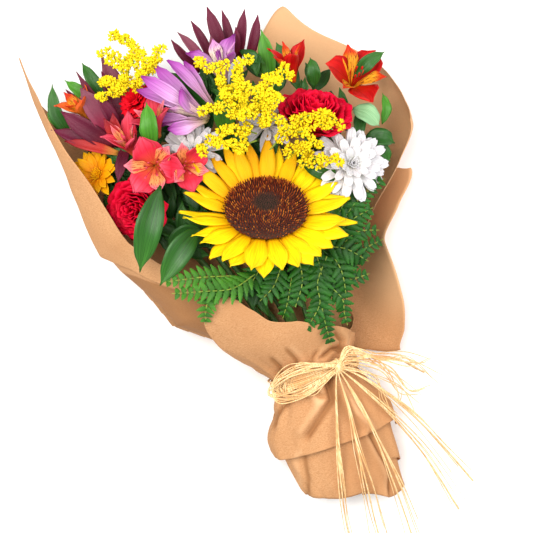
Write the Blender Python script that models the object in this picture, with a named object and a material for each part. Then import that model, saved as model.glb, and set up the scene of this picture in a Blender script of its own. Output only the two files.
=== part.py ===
"""A mixed flower bouquet wrapped in kraft paper and tied with raffia.

The bouquet lies on its back on the plane z = 0, its flowers towards +Y and its cut
stems towards -Y. Metres, +Z up. The raffia tie is built at y = 0 and the whole
bouquet is shifted at the end, so that its footprint is centred on the origin.
"""

import math

import bmesh
import bpy
from mathutils import Matrix, Vector

PAPER = 0.0007  # thickness of each paper wall
LAYER = 0.0024  # from one sheet's outer face to the next sheet's outer face, at the tie
SPREAD = ((-0.05, 1.3), (0.0, 1.0), (0.035, 2.2))  # how that gap opens along the bouquet
SQUARENESS = 0.78  # exponent of the wrap's cross-section: 1 is an ellipse, less is squarer
SINK = 0.004  # how far the wrap's round underside is pressed flat on the table

# Half width and half height of the wrap at stations along the bouquet.
WIDTH_LEFT = (
    (-0.135, 0.046), (-0.10, 0.055), (-0.05, 0.060), (-0.02, 0.044), (0.0, 0.035), (0.02, 0.046),
    (0.036, 0.060), (0.086, 0.121), (0.132, 0.1386), (0.17, 0.1525), (0.289, 0.161), (0.37, 0.163),
)
WIDTH_RIGHT = (
    (-0.135, 0.050), (-0.10, 0.052), (-0.05, 0.055), (-0.02, 0.042), (0.0, 0.036), (0.02, 0.046),
    (0.05, 0.072), (0.09, 0.090), (0.121, 0.107), (0.158, 0.146), (0.188, 0.168), (0.24, 0.170),
    (0.33, 0.152),
)
HEIGHT = (
    (-0.135, 0.0255), (-0.10, 0.029), (-0.05, 0.0285), (0.0, 0.0285), (0.05, 0.046), (0.10, 0.060),
    (0.17, 0.067), (0.28, 0.066), (0.37, 0.054),
)
LIFT = ((-0.07, 0.0), (-0.02, 0.0034), (0.02, 0.0034), (0.07, 0.0))  # room for the tie underneath

FIBRE = 0.0028  # width of a loose end of raffia

STEM_END = -0.102  # cut ends of the stems
ROSE_STEM = 0.0028  # radius
STEM_ROWS = (  # the bundle in the tie: height, pitch and the stems from left to right
    (0.0160, 0.0092, ("yellow", "leucadendron_left", "carnation", "leucadendron_top", "red")),
    (0.0225, 0.0095, ("orange", "goldenrod_left", "lilac", "goldenrod_centre", "rose_right")),
    (0.0300, 0.0110, ("rose_left", "pink", "mum_left", "mum_right")),
    (0.0388, 0.0125, ("sunflower", "goldenrod_right")),
)

KRAFT = (0.62, 0.38, 0.22)
RAFFIA = (0.83, 0.68, 0.40)
GREEN = (0.10, 0.25, 0.06)
FERN_GREEN = (0.07, 0.24, 0.04)
SUN_YELLOW = (0.95, 0.72, 0.02)
GOLDEN = (0.90, 0.78, 0.03)
DISC_BROWN = (0.20, 0.07, 0.03)
CRIMSON = (0.72, 0.01, 0.05)
PINK = (0.80, 0.12, 0.20)
SCARLET = (0.80, 0.07, 0.03)
LILAC = (0.68, 0.38, 0.70)
WHITE = (0.90, 0.89, 0.86)
BURGUNDY = (0.24, 0.03, 0.07)


def clear_scene():
    for thing in list(bpy.data.objects):
        bpy.data.objects.remove(thing, do_unlink=True)


def material(name, colour, roughness):
    made = bpy.data.materials.get(name) or bpy.data.materials.new(name)
    made.use_nodes = True
    shader = made.node_tree.nodes["Principled BSDF"]
    shader.inputs["Base Color"].default_value = (*colour, 1.0)
    shader.inputs["Roughness"].default_value = roughness
    shader.inputs["Metallic"].default_value = 0.0
    return made


def place(name, data, finish):
    made = bpy.data.objects.new(name, data)
    bpy.context.scene.collection.objects.link(made)
    data.materials.append(finish)
    return made


def place_bmesh(name, bm, finish, thickness=0.0, offset=-1.0):
    """The bmesh as an object. A thickness turns an open surface into a closed wall."""
    mesh = bpy.data.meshes.new(name)
    bm.to_mesh(mesh)
    bm.free()
    mesh.shade_smooth()
    made = place(name, mesh, finish)
    if thickness:
        wall = made.modifiers.new("wall", "SOLIDIFY")
        wall.thickness = thickness
        wall.offset = offset
        return made


def along(stations, at):
    """A smooth curve through (place, value) pairs, level outside them."""
    if at <= stations[0][0]:
        return stations[0][1]
    if at >= stations[-1][0]:
        return stations[-1][1]
    last = len(stations) - 1
    i = max(k for k in range(last) if stations[k][0] <= at)
    rises = [
        (stations[k + 1][1] - stations[k][1]) / (stations[k + 1][0] - stations[k][0])
        for k in range(last)
    ]

    def slope(k):
        if k in (0, last) or rises[k - 1] * rises[k] <= 0:
            return 0.0
        return 2 * rises[k - 1] * rises[k] / (rises[k - 1] + rises[k])

    (a, low), (b, high) = stations[i], stations[i + 1]
    t = (at - a) / (b - a)
    return (
        low * (2 * t**3 - 3 * t**2 + 1)
        + high * (3 * t**2 - 2 * t**3)
        + (b - a) * (slope(i) * (t**3 - 2 * t**2 + t) + slope(i + 1) * (t**3 - t**2))
    )


def smooth_route(points, step):
    """Points about one step apart on a smooth curve through the given ones."""
    points = [Vector(p) for p in points]
    padded = [2 * points[0] - points[1], *points, 2 * points[-1] - points[-2]]
    fine = []
    for a, b, c, d in zip(padded, padded[1:], padded[2:], padded[3:]):
        for k in range(24):
            t = k / 24
            fine.append(
                0.5 * (2 * b + (c - a) * t + (2 * a - 5 * b + 4 * c - d) * t**2
                       + (3 * b - a - 3 * c + d) * t**3)
            )
    fine.append(points[-1])
    lengths = [0.0]
    for a, b in zip(fine, fine[1:]):
        lengths.append(lengths[-1] + (b - a).length)
    count = max(3, round(lengths[-1] / step))
    route = []
    k = 0
    for i in range(count + 1):
        want = lengths[-1] * i / count
        while k < len(fine) - 2 and lengths[k + 1] < want:
            k += 1
        part = (want - lengths[k]) / (lengths[k + 1] - lengths[k])
        route.append(fine[k].lerp(fine[k + 1], part))
    return route


def tube(name, points, radii, finish, resolution=1):
    """A curve with a round section. radii is one radius, or one for each point."""
    curve = bpy.data.curves.new(name, "CURVE")
    curve.dimensions = "3D"
    curve.bevel_resolution = resolution
    curve.use_fill_caps = True
    curve.twist_mode = "MINIMUM"
    widest = radii if isinstance(radii, float) else max(radii)
    curve.bevel_depth = widest
    spline = curve.splines.new("POLY")
    spline.points.add(len(points) - 1)
    for i, point in enumerate(points):
        spline.points[i].co = (*point, 1.0)
        spline.points[i].radius = 1.0 if isinstance(radii, float) else radii[i] / widest
    return place(name, curve, finish)


def turned(name, centre, axis, profile, finish, resolution=3):
    """A round head: profile pairs a distance along its axis with a radius."""
    axis = Vector(axis).normalized()
    points = [Vector(centre) + axis * height for height, _ in profile]
    return tube(name, points, [radius for _, radius in profile], finish, resolution)


def wrap_point(y, degrees, inset):
    """A point on the wrap, degrees round from straight down, the right side positive."""
    angle = math.radians(degrees)
    side = WIDTH_RIGHT if degrees > 0 else WIDTH_LEFT
    half_height = along(HEIGHT, y)
    inset *= along(SPREAD, y)
    sine = math.sin(angle)
    cosine = math.cos(angle)
    x = math.copysign(abs(sine) ** SQUARENESS, sine) * (along(side, y) - inset)
    z = half_height - SINK - math.copysign(abs(cosine) ** SQUARENESS, cosine) * (half_height - inset)
    return Vector((x, y, max(z, inset) + along(LIFT, y)))


def wrap_sheet(name, inset, left, right, low, rim, columns, rows, finish, top=False):
    """One sheet of the wrap. left and right give its angles from the middle at each
    station; low and rim give its ends along the bouquet for u from -1 to 1."""
    bm = bmesh.new()
    bmesh.ops.create_grid(bm, x_segments=columns, y_segments=rows, size=1.0)
    for vert in bm.verts:
        u = vert.co.x
        v = (vert.co.y + 1) / 2
        start = along(low, u)
        y = start + (along(rim, u) - start) * v
        turn = u * along(left if u < 0 else right, y)
        if top:
            turn = -180 - turn if u < 0 else 180 - turn
        vert.co = wrap_point(y, turn, inset)
    bmesh.ops.recalc_face_normals(bm, faces=bm.faces)
    face_up_if(bm, top)
    return place_bmesh(name, bm, finish, PAPER)


def face_up_if(bm, top):
    """Turns an open sheet's faces outwards: up on a sheet over the front, else down."""
    total = sum((face.normal.z * face.calc_area() for face in bm.faces), 0.0)
    if (total > 0) != top:
        bmesh.ops.reverse_faces(bm, faces=bm.faces)


def paper_sheets():
    """The wrap: a tall back sheet, a skirt inside it, a front piece and a flat one below."""
    kraft = material("kraft_paper", KRAFT, 0.85)
    wrap_sheet(
        "middle_paper_sheet", LAYER,
        left=((-0.135, 150), (-0.05, 165), (0.0, 172), (0.033, 172), (0.06, 165), (0.0975, 158),
              (0.138, 143), (0.175, 133), (0.235, 124), (0.287, 113), (0.342, 105), (0.37, 100)),
        right=((-0.135, 120), (-0.05, 150), (0.0, 165), (0.02, 120), (0.05, 48), (0.09, 48),
               (0.121, 82), (0.158, 94), (0.188, 100), (0.25, 84), (0.33, 62)),
        low=((-1, 0.07), (-0.93, 0.113), (-0.87, 0.148), (-0.67, 0.170), (-0.45, 0.15), (-0.34, 0.05),
             (-0.24, 0.014), (-0.16, 0.010), (-0.09, -0.09), (0, -0.100), (0.5, -0.108), (1, -0.100)),
        rim=((-1, 0.367), (-0.75, 0.327), (-0.4, 0.290), (0, 0.284), (0.3, 0.324), (0.45, 0.338),
             (0.75, 0.268), (1, 0.19)),
        columns=28, rows=15, finish=kraft,
    )
    wrap_sheet(
        "inner_paper_sheet", 2 * LAYER,
        left=((-0.135, 178), (0.0, 174), (0.036, 168), (0.08, 150), (0.13, 138), (0.17, 118),
              (0.2, 100)),
        right=((-0.135, 178), (-0.05, 178), (0.0, 150), (0.02, 80), (0.05, 38), (0.2, 50)),
        low=((-1, -0.120), (-0.5, -0.106), (0, -0.122), (0.5, -0.128), (0.8, -0.134), (1, -0.122)),
        rim=((-1, 0.16), (-0.6, 0.20), (0, 0.23), (1, 0.2)),
        columns=24, rows=12, finish=kraft,
    )
    wrap_sheet(
        "front_paper_wrap", -0.0024,
        left=((-0.075, 100), (-0.03, 110), (0.0, 112), (0.033, 72), (0.055, 50), (0.079, 36),
              (0.1, 24)),
        right=((-0.075, 100), (-0.03, 110), (0.0, 112), (0.02, 75), (0.036, 48), (0.055, 40)),
        low=((-1, -0.050), (-0.8, -0.060), (-0.5, -0.066), (0.2, -0.069), (0.7, -0.066), (1, -0.074)),
        rim=((-1, 0.085), (-0.8, 0.097), (-0.5, 0.090), (-0.3, 0.076), (-0.18, 0.062), (0, 0.054),
             (0.17, 0.046), (0.62, 0.034), (1, 0.022)),
        columns=20, rows=11, finish=kraft, top=True,
    )
    outer_sheet(kraft)


def outer_sheet(kraft):
    """The sheet under the others. It runs flat under the tie and out to a raised loose
    corner on the right, and its face under the bouquet is what rests on the table."""
    right_edge = (
        (-0.12, 0.090), (-0.007, 0.084), (0.01, 0.094), (0.039, 0.102), (0.072, 0.104), (0.092, 0.1035),
        (0.12, 0.127), (0.149, 0.152), (0.2, 0.14),
    )
    left_edge = ((-0.12, -0.036), (0.0, -0.026), (0.1, -0.07), (0.2, -0.09))
    flat_to = ((-0.12, 0.030), (0.0, 0.030), (0.05, 0.048), (0.1, 0.070), (0.2, 0.11))
    rise = ((-0.01, 0.026), (0.04, 0.040), (0.09, 0.046), (0.12, 0.042), (0.15, 0.028), (0.2, 0.01))
    low = ((0, -0.112), (0.32, -0.116), (0.38, -0.05), (0.45, 0.014), (0.7, 0.002), (1, -0.008))
    rim = ((0, 0.16), (0.6, 0.19), (0.9, 0.165), (1, 0.150))
    bm = bmesh.new()
    bmesh.ops.create_grid(bm, x_segments=18, y_segments=16, size=0.5)
    for vert in bm.verts:
        u = vert.co.x + 0.5
        start = along(low, u)
        y = start + (along(rim, u) - start) * (vert.co.y + 0.5)
        edge = along(right_edge, y)
        x = along(left_edge, y) * (1 - u) + edge * u
        start = along(flat_to, y)
        outward = max(0.0, (x - start) / (edge - start))
        vert.co = (x, y, along(rise, y) * outward**2 + along(LIFT, y))
    bmesh.ops.recalc_face_normals(bm, faces=bm.faces)
    face_up_if(bm, False)
    place_bmesh("outer_paper_sheet", bm, kraft, PAPER)


def stem_slot(stem):
    """Where a stem passes through the tie."""
    for height, pitch, names in STEM_ROWS:
        if stem in names:
            return Vector(((names.index(stem) - (len(names) - 1) / 2) * pitch, 0.0, height))
    raise ValueError(stem)


def stem_route(stem, base, axis, step, rise=0.26):
    """Straight through the tie, then in one bend up into the base of its flower."""
    slot = stem_slot(stem)
    base = Vector(base)
    reach = (base - slot).length
    first = slot + Vector(((base.x - slot.x) * 0.19, reach * 0.34, 0.004))
    last = base - Vector(axis).normalized() * reach * rise
    bend = []
    for k in range(1, 9):
        t = k / 8
        bend.append(
            slot * (1 - t) ** 3 + first * (3 * t * (1 - t) ** 2) + last * (3 * t * t * (1 - t)) + base * t**3
        )
    return smooth_route([(slot.x, STEM_END, slot.z), (slot.x, -0.03, slot.z), slot, *bend], step)


def stem_tube(name, stem, base, axis, radius):
    return tube(name, stem_route(stem, base, axis, 0.024), radius, material("green_stem", GREEN, 0.6))


def bloom(name, base, axis, radius, depth, petals, notch, finish, wall=0.001, curl=1.3, roll=0):
    """A ring of petals that opens from its base along its axis, with a notch between
    each petal and the next. notch is the radius there, as a share of the tip's."""
    bm = bmesh.new()
    bmesh.ops.create_circle(bm, cap_ends=True, cap_tris=True, segments=2 * petals, radius=0.12)
    for share in (0.45, 0.8, 1.0):
        border = [edge for edge in bm.edges if edge.is_boundary]
        grown = bmesh.ops.extrude_edge_only(bm, edges=border)["geom"]
        for vert in grown:
            if isinstance(vert, bmesh.types.BMVert):
                vert.co *= share / vert.co.length
    for vert in bm.verts:
        share = vert.co.length
        step = round(math.atan2(vert.co.y, vert.co.x) / (math.pi / petals))
        if share > 0.9 and step % 2:
            vert.co *= notch
        vert.co = Vector((vert.co.x * radius, vert.co.y * radius, depth * share**curl))
    turn = Vector(axis).to_track_quat("Z", "Y").to_matrix().to_4x4()
    turn = turn @ Matrix.Rotation(math.radians(roll), 4, "Z")
    bmesh.ops.transform(bm, matrix=Matrix.Translation(base) @ turn, verts=bm.verts)
    return place_bmesh(name, bm, finish, wall, 0.0)


def leaf(name, route, width, finish, fold=0.15, teeth=0.0, segments=7, wall=0.0008):
    """A blade along its route. teeth narrows every second station, as on a fern frond."""
    line = smooth_route(route, 0.01)
    bm = bmesh.new()
    bmesh.ops.create_grid(bm, x_segments=2, y_segments=segments, size=1.0)
    for vert in bm.verts:
        across = vert.co.x
        share = (vert.co.y + 1) / 2
        place_on = share * (len(line) - 1)
        i = min(int(place_on), len(line) - 2)
        ahead = (line[i + 1] - line[i]).normalized()
        sideways = ahead.cross(Vector((0, 0, 1))).normalized()
        half = width / 2 * max(0.05, math.sin(math.pi * min(1.0, share * 0.9 + 0.08)) ** 0.8)
        if teeth and round(share * segments) % 2:
            half *= 1 - teeth
        up = sideways.cross(ahead)
        vert.co = line[i].lerp(line[i + 1], place_on - i) + sideways * half * across
        vert.co += up * (half * fold * abs(across))
    bmesh.ops.recalc_face_normals(bm, faces=bm.faces)
    return place_bmesh(name, bm, finish, wall, 0.0)


def sunflower():
    """The large head with its one ring of petals, its disc and its thick stem."""
    face = Vector((0.233, 0.641, 0.731)).normalized()
    centre = Vector((0.009, 0.156, 0.128))
    turned(
        "sunflower_disc", centre, face,
        ((-0.006, 0.026), (0.0, 0.0365), (0.005, 0.035), (0.008, 0.022), (0.0085, 0.008)),
        material("sunflower_disc", DISC_BROWN, 0.8), 6,
    )
    bloom(
        "sunflower_petals", centre - face * 0.0085, face, 0.079, 0.006, 17, 0.70,
        material("sunflower_petals", SUN_YELLOW, 0.5), 0.0014, 1.6, roll=3,
    )
    base = centre - face * 0.0105
    route = stem_route("sunflower", base, face, 0.012)
    radii = [0.0048] * len(route)
    radii[-1] = 0.018
    radii[-2] = 0.009
    tube("sunflower_stem", route, radii, material("green_stem", GREEN, 0.6), 2)


def round_flower(name, stem, centre, axis, profile, stem_radius, finish):
    """A dense round head on its stem."""
    turned(name, centre, axis, profile, finish, 3)
    base = Vector(centre) + Vector(axis).normalized() * (profile[0][0] - 0.001)
    stem_tube(name + "_stem", stem, base, axis, stem_radius)


def roses_and_carnation():
    """Two red roses and a small red carnation, each a dense round head."""
    crimson = material("rose_petals", CRIMSON, 0.55)
    rose = (
        (-0.030, 0.006), (-0.024, 0.019), (-0.010, 0.026), (0.004, 0.0285), (0.012, 0.024), (0.014, 0.008)
    )
    round_flower(
        "rose_right", "rose_right", (0.082, 0.230, 0.116), (0.35, 0.55, 0.85), rose, ROSE_STEM, crimson
    )
    rose = tuple((height * 0.9, radius * 0.9) for height, radius in rose)
    round_flower(
        "rose_left", "rose_left", (-0.096, 0.199, 0.108), (-0.42, -0.05, 0.9), rose, ROSE_STEM, crimson
    )
    ruffle = ((-0.022, 0.004), (-0.008, 0.007), (0.0, 0.015), (0.008, 0.014), (0.010, 0.004))
    round_flower(
        "carnation", "carnation", (-0.068, 0.291, 0.101), (-0.25, 0.5, 0.75), ruffle, 0.0018,
        material("carnation_petals", CRIMSON, 0.6),
    )


def daisies():
    """Two white spray chrysanthemums with a third bloom between them, and the yellow
    flower at the left edge."""
    white = material("white_petals", WHITE, 0.55)
    stem = "mum_right"
    axis = Vector((0.30, -0.05, 0.95))
    bloom("chrysanthemum_right", (0.093, 0.169, 0.100), axis, 0.0295, 0.008, 13, 0.7, white, 0.003)
    stem_tube("chrysanthemum_right_stem", stem, Vector((0.093, 0.169, 0.100)) - axis * 0.003, axis, 0.0020)
    axis = Vector((0.1, 0.35, 0.9))
    bloom("chrysanthemum_left", (-0.030, 0.238, 0.098), axis, 0.024, 0.008, 11, 0.7, white, 0.003)
    stem_tube(
        "chrysanthemum_left_stem", "mum_left", Vector((-0.030, 0.238, 0.098)) - axis * 0.003, axis, 0.0020
    )
    bloom("chrysanthemum_centre", (0.036, 0.229, 0.080), (0.0, 0.3, 0.9), 0.022, 0.010, 11, 0.7, white, 0.003)
    axis = Vector((-0.35, 0.35, 0.85))
    bloom(
        "yellow_flower", (-0.124, 0.240, 0.072), axis, 0.025, 0.006, 12, 0.7,
        material("sunflower_petals", SUN_YELLOW, 0.5), 0.002,
    )
    stem_tube(
        "yellow_flower_stem", "yellow", Vector((-0.124, 0.240, 0.072)) - axis * 0.0025, axis, 0.0026
    )


def alstroemerias():
    """Four stems of alstroemeria. Each floret is a six-petalled trumpet."""
    pink = material("pink_alstroemeria", PINK, 0.5)
    scarlet = material("red_alstroemeria", SCARLET, 0.5)
    lilac = material("lilac_alstroemeria", LILAC, 0.5)
    florets = (
        ("pink_floret_open_left", (-0.062, 0.217, 0.119), (-0.1, -0.15, 1.0), 0.024, 0.014, pink),
        ("pink_floret_open_right", (-0.038, 0.195, 0.108), (0.4, 0.0, 0.9), 0.018, 0.014, pink),
        ("pink_trumpet_left", (-0.084, 0.240, 0.101), (-0.1, 0.62, 0.6), 0.0145, 0.036, pink),
        ("pink_trumpet_right", (-0.058, 0.250, 0.101), (0.02, 0.6, 0.65), 0.0135, 0.034, pink),
        ("red_floret_closed", (0.072, 0.256, 0.092), (0.1, 0.8, 0.45), 0.013, 0.036, scarlet),
        ("red_floret_open", (0.121, 0.236, 0.074), (0.25, 0.3, 0.9), 0.021, 0.017, scarlet),
        ("orange_floret", (-0.112, 0.288, 0.083), (-0.25, 0.75, 0.5), 0.015, 0.030, scarlet),
        ("lilac_trumpet_left", (-0.010, 0.264, 0.097), (-0.5, 0.72, 0.46), 0.022, 0.044, lilac),
        ("lilac_trumpet_right", (0.014, 0.278, 0.088), (0.05, 0.85, 0.5), 0.021, 0.036, lilac),
    )
    for name, base, axis, radius, depth, finish in florets:
        bloom(name, base, axis, radius, depth, 6, 0.62, finish, 0.001, 1.5)
    stem_tube("pink_alstroemeria_stem", "pink", (-0.070, 0.224, 0.088), (-0.1, 0.5, 0.8), 0.0024)
    stem_tube("red_alstroemeria_stem", "red", (0.098, 0.236, 0.058), (0.3, 0.6, 0.5), 0.0024)
    stem_tube("orange_alstroemeria_stem", "orange", (-0.122, 0.270, 0.070), (-0.3, 0.8, 0.4), 0.0022)
    stem_tube("lilac_alstroemeria_stem", "lilac", (-0.002, 0.258, 0.078), (0.0, 0.8, 0.5), 0.0024)


def goldenrods():
    """Plumes of tiny florets, each on a thin arching stem."""
    golden = material("goldenrod", GOLDEN, 0.8)
    plumes = (
        ("goldenrod_left", (-0.060, 0.303, 0.092), (-0.2, 0.8, 0.3), (-0.071, 0.346, 0.104)),
        ("goldenrod_centre", (0.014, 0.236, 0.115), (0.0, 0.15, 1.0), (0.030, 0.276, 0.136)),
        ("goldenrod_right", (0.068, 0.196, 0.122), (-0.35, -0.15, 1.0), (0.095, 0.196, 0.140)),
    )
    for name, base, axis, tip in plumes:
        route = stem_route(name, base, axis, 0.016, 0.4)
        plume = smooth_route([base, (Vector(base) + Vector(tip)) / 2 + Vector((0, 0, 0.004)), tip], 0.008)
        radii = [0.0016] * len(route) + [
            0.0095 * math.sin(math.pi * (0.12 + 0.80 * k / (len(plume) - 1))) * (0.82 if k % 2 else 1.0)
            for k in range(1, len(plume))
        ]
        tube(name, [*route, *plume[1:]], radii, golden, 1)


def leucadendrons():
    """Two burgundy heads of pointed bracts."""
    burgundy = material("leucadendron", BURGUNDY, 0.4)
    heads = (
        ("leucadendron_left", (-0.089, 0.262, 0.068), (-0.38, 0.62, 0.30), 0.030, 0.046),
        ("leucadendron_top", (0.030, 0.290, 0.056), (0.08, 0.85, 0.32), 0.028, 0.050),
    )
    for name, base, axis, radius, depth in heads:
        bloom(name, base, axis, radius, depth, 7, 0.6, burgundy, 0.0012, 1.2)
        below = Vector(base) - Vector(axis).normalized() * 0.0016
        stem_tube(name + "_stem", name, below, axis, 0.0026)


def foliage():
    """The broad leaves among the flowers and the fern fronds over the front."""
    green = material("green_leaf", GREEN, 0.45)
    leaves = (
        ("leaf_front_left", ((-0.072, 0.203, 0.1435), (-0.092, 0.176, 0.146), (-0.112, 0.143, 0.132)), 0.024),
        ("leaf_front_centre",
         ((-0.052, 0.160, 0.122), (-0.074, 0.148, 0.130), (-0.099, 0.126, 0.128)), 0.022),
        ("leaf_left", ((-0.134, 0.280, 0.078), (-0.139, 0.303, 0.086), (-0.133, 0.328, 0.090)), 0.013),
        ("leaf_right_upper", ((0.124, 0.242, 0.086), (0.140, 0.250, 0.093), (0.157, 0.254, 0.092)), 0.013),
        ("leaf_right_lower", ((0.122, 0.206, 0.082), (0.136, 0.191, 0.086), (0.131, 0.170, 0.072)), 0.024),
        ("leaf_top", ((0.052, 0.262, 0.070), (0.058, 0.287, 0.078), (0.061, 0.311, 0.083)), 0.015),
    )
    for name, route, width in leaves:
        leaf(name, route, width, green)
    fern = material("fern_frond", FERN_GREEN, 0.5)
    fronds = (
        ("fern_right", ((0.054, 0.092, 0.084), (0.088, 0.114, 0.092), (0.117, 0.141, 0.088)), 0.036),
        ("fern_right_low", ((0.044, 0.072, 0.070), (0.070, 0.088, 0.080), (0.096, 0.104, 0.082)), 0.032),
        ("fern_front", ((0.004, 0.084, 0.098), (0.014, 0.056, 0.096), (0.025, 0.026, 0.086)), 0.036),
        ("fern_left", ((-0.030, 0.112, 0.108), (-0.060, 0.108, 0.124), (-0.086, 0.100, 0.128)), 0.034),
    )
    for name, route, width in fronds:
        leaf(name, route, width, fern, 0.05, 0.4, 12)


RAFFIA_ENDS = (  # each loose end and its route from the knot
    ("raffia_tail_1", ((0.0165, -0.0105, 0.0680), (0.008, -0.035, 0.0640), (-0.002, -0.068, 0.0615),
                       (-0.012, -0.105, 0.0530), (-0.020, -0.145, 0.0290), (-0.024, -0.185, 0.0030))),
    ("raffia_tail_2", ((0.0200, -0.0110, 0.0680), (0.0185, -0.040, 0.0640), (0.014, -0.075, 0.0615),
                       (0.010, -0.115, 0.0530), (0.006, -0.155, 0.0260), (0.004, -0.195, 0.0030))),
    ("raffia_tail_3", ((0.0240, -0.0110, 0.0680), (0.029, -0.040, 0.0630), (0.033, -0.075, 0.0600),
                       (0.0345, -0.120, 0.0490), (0.035, -0.162, 0.0230), (0.034, -0.205, 0.0030))),
    ("raffia_tail_4", ((0.0280, -0.0100, 0.0670), (0.042, -0.036, 0.0600), (0.058, -0.072, 0.0440),
                       (0.073, -0.115, 0.0200), (0.086, -0.173, 0.0030))),
    ("raffia_tail_5", ((0.0310, -0.0070, 0.0660), (0.051, -0.031, 0.0590), (0.074, -0.070, 0.0380),
                       (0.092, -0.110, 0.0150), (0.108, -0.152, 0.0030))),
    ("raffia_short_end", ((0.0325, 0.0015, 0.0680), (0.052, -0.001, 0.0680), (0.078, -0.014, 0.0500),
                          (0.098, -0.036, 0.0220))),
)


def near(vert, others):
    return min(others, key=lambda other: (other.co - vert.co).length)


def raffia():
    """The band round the tie, its knot and bow, and the loose ends."""
    straw = material("raffia", RAFFIA, 0.7)
    bm = bmesh.new()
    bmesh.ops.create_circle(bm, cap_ends=False, segments=28, radius=1.0)
    ring = {vert: math.degrees(math.atan2(vert.co.x, -vert.co.y)) for vert in bm.verts}
    for y in (-0.007, 0.0, 0.007):
        for vert, turn in ring.items():
            vert.co = wrap_point(y, turn, -0.0072)
            vert.co.z = max(vert.co.z, 0.0)
        if y < 0.007:
            border = [edge for edge in bm.edges if all(end in ring for end in edge.verts)]
            grown = bmesh.ops.extrude_edge_only(bm, edges=border)["geom"]
            fresh = [vert for vert in grown if isinstance(vert, bmesh.types.BMVert)]
            ring = {vert: ring[near(vert, ring)] for vert in fresh}
    bmesh.ops.recalc_face_normals(bm, faces=bm.faces)
    right = max(bm.faces, key=lambda face: face.calc_center_median().x)
    if right.normal.x < 0:
        bmesh.ops.reverse_faces(bm, faces=bm.faces)
    place_bmesh("raffia_band", bm, straw, 0.0018)
    turned(
        "raffia_knot", (0.022, 0.001, 0.0690), (0.35, 0.0, 0.94),
        ((-0.0055, 0.004), (-0.003, 0.0085), (0.002, 0.0085), (0.005, 0.004)), straw, 2,
    )
    bow = ((0.0125, 0.006, 0.0700), (-0.010, 0.014, 0.0740), (-0.036, 0.012, 0.0640), (-0.047, 0.0, 0.0550),
           (-0.040, -0.011, 0.0560), (-0.012, -0.008, 0.0710), (0.0125, -0.003, 0.0700))
    tube("raffia_bow", smooth_route(bow, 0.007), 0.0022, straw, 2)
    for name, route in RAFFIA_ENDS:
        tube(name, smooth_route(route, 3 * FIBRE), FIBRE / 2, straw, 2)


def centre_on_origin():
    """Shifts everything so that the bouquet without its loose raffia is centred."""
    loose = {name for name, _ in RAFFIA_ENDS}
    bpy.context.view_layer.update()
    graph = bpy.context.evaluated_depsgraph_get()
    corners = []
    for thing in bpy.data.objects:
        if thing.name in loose:
            continue
        mesh = thing.evaluated_get(graph).to_mesh()
        corners += [thing.matrix_world @ vert.co for vert in mesh.vertices]
        thing.evaluated_get(graph).to_mesh_clear()
    middle = [(min(c[i] for c in corners) + max(c[i] for c in corners)) / 2 for i in (0, 1)]
    for thing in bpy.data.objects:
        thing.location = (-middle[0], -middle[1], 0.0)


clear_scene()
paper_sheets()
sunflower()
roses_and_carnation()
daisies()
alstroemerias()
goldenrods()
leucadendrons()
foliage()
raffia()
centre_on_origin()
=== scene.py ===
"""A mixed flower bouquet in kraft paper, tied with raffia, lying on its back on a table.

Metres, +Z up, flowers towards +Y and cut stems towards -Y. Places are measured from the
middle of the tie, TIE, which comes from the frame.
"""

import math
import random

import bmesh
import bpy
from mathutils import Matrix, Vector, noise


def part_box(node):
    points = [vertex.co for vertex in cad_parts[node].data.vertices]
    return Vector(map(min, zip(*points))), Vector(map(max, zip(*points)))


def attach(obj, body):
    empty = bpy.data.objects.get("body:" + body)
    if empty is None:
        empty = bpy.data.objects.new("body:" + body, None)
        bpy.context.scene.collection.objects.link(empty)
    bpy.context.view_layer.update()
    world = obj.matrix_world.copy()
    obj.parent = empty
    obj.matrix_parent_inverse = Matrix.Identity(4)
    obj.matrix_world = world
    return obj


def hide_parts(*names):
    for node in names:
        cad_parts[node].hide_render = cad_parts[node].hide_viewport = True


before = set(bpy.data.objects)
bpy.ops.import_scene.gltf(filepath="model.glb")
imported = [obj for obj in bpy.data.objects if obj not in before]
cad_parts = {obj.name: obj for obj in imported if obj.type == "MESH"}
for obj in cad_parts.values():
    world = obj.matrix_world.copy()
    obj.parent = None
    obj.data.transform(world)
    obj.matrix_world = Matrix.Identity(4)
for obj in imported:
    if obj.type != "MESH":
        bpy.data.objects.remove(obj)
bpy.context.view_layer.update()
band_low, band_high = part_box("raffia_band")
TIE = Vector(((band_low.x + band_high.x) / 2 - 0.0005, (band_low.y + band_high.y) / 2, 0.0))


def at(x, y, z):
    """The place that lies x, y, z from the tie, on the table's level."""
    return TIE + Vector((x, y, z))


def spots(points):
    """The places of points given in millimetres from the tie."""
    return [at(*(value / 1000 for value in point)) for point in points]


def join_bouquet(piece, nodes=()):
    """Fixes a piece to the bouquet, in place of the solids that it stands for."""
    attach(piece, "root")
    if nodes:
        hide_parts(*nodes)


# ---- Studio: the camera straight above, a white table and large soft lights. The class
# and the two functions here mix every finish of the bouquet, starting with the table's.

bpy.context.scene.view_settings.view_transform = "Standard"

camera = bpy.data.objects.new("camera", bpy.data.cameras.new("camera"))
bpy.context.scene.collection.objects.link(camera)
bpy.context.scene.camera = camera
camera.data.sensor_width = 36.0
camera.data.lens = 95.4
camera.location = at(-0.0078, 0.109, 1.36)
camera.rotation_euler = (0.0, 0.0, math.radians(-20))

room = bpy.data.worlds.new("room")
bpy.context.scene.world = room
room.use_nodes = True
room.node_tree.nodes["Background"].inputs["Color"].default_value = (0.97, 0.98, 1.0, 1.0)
room.node_tree.nodes["Background"].inputs["Strength"].default_value = 0.50

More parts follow.
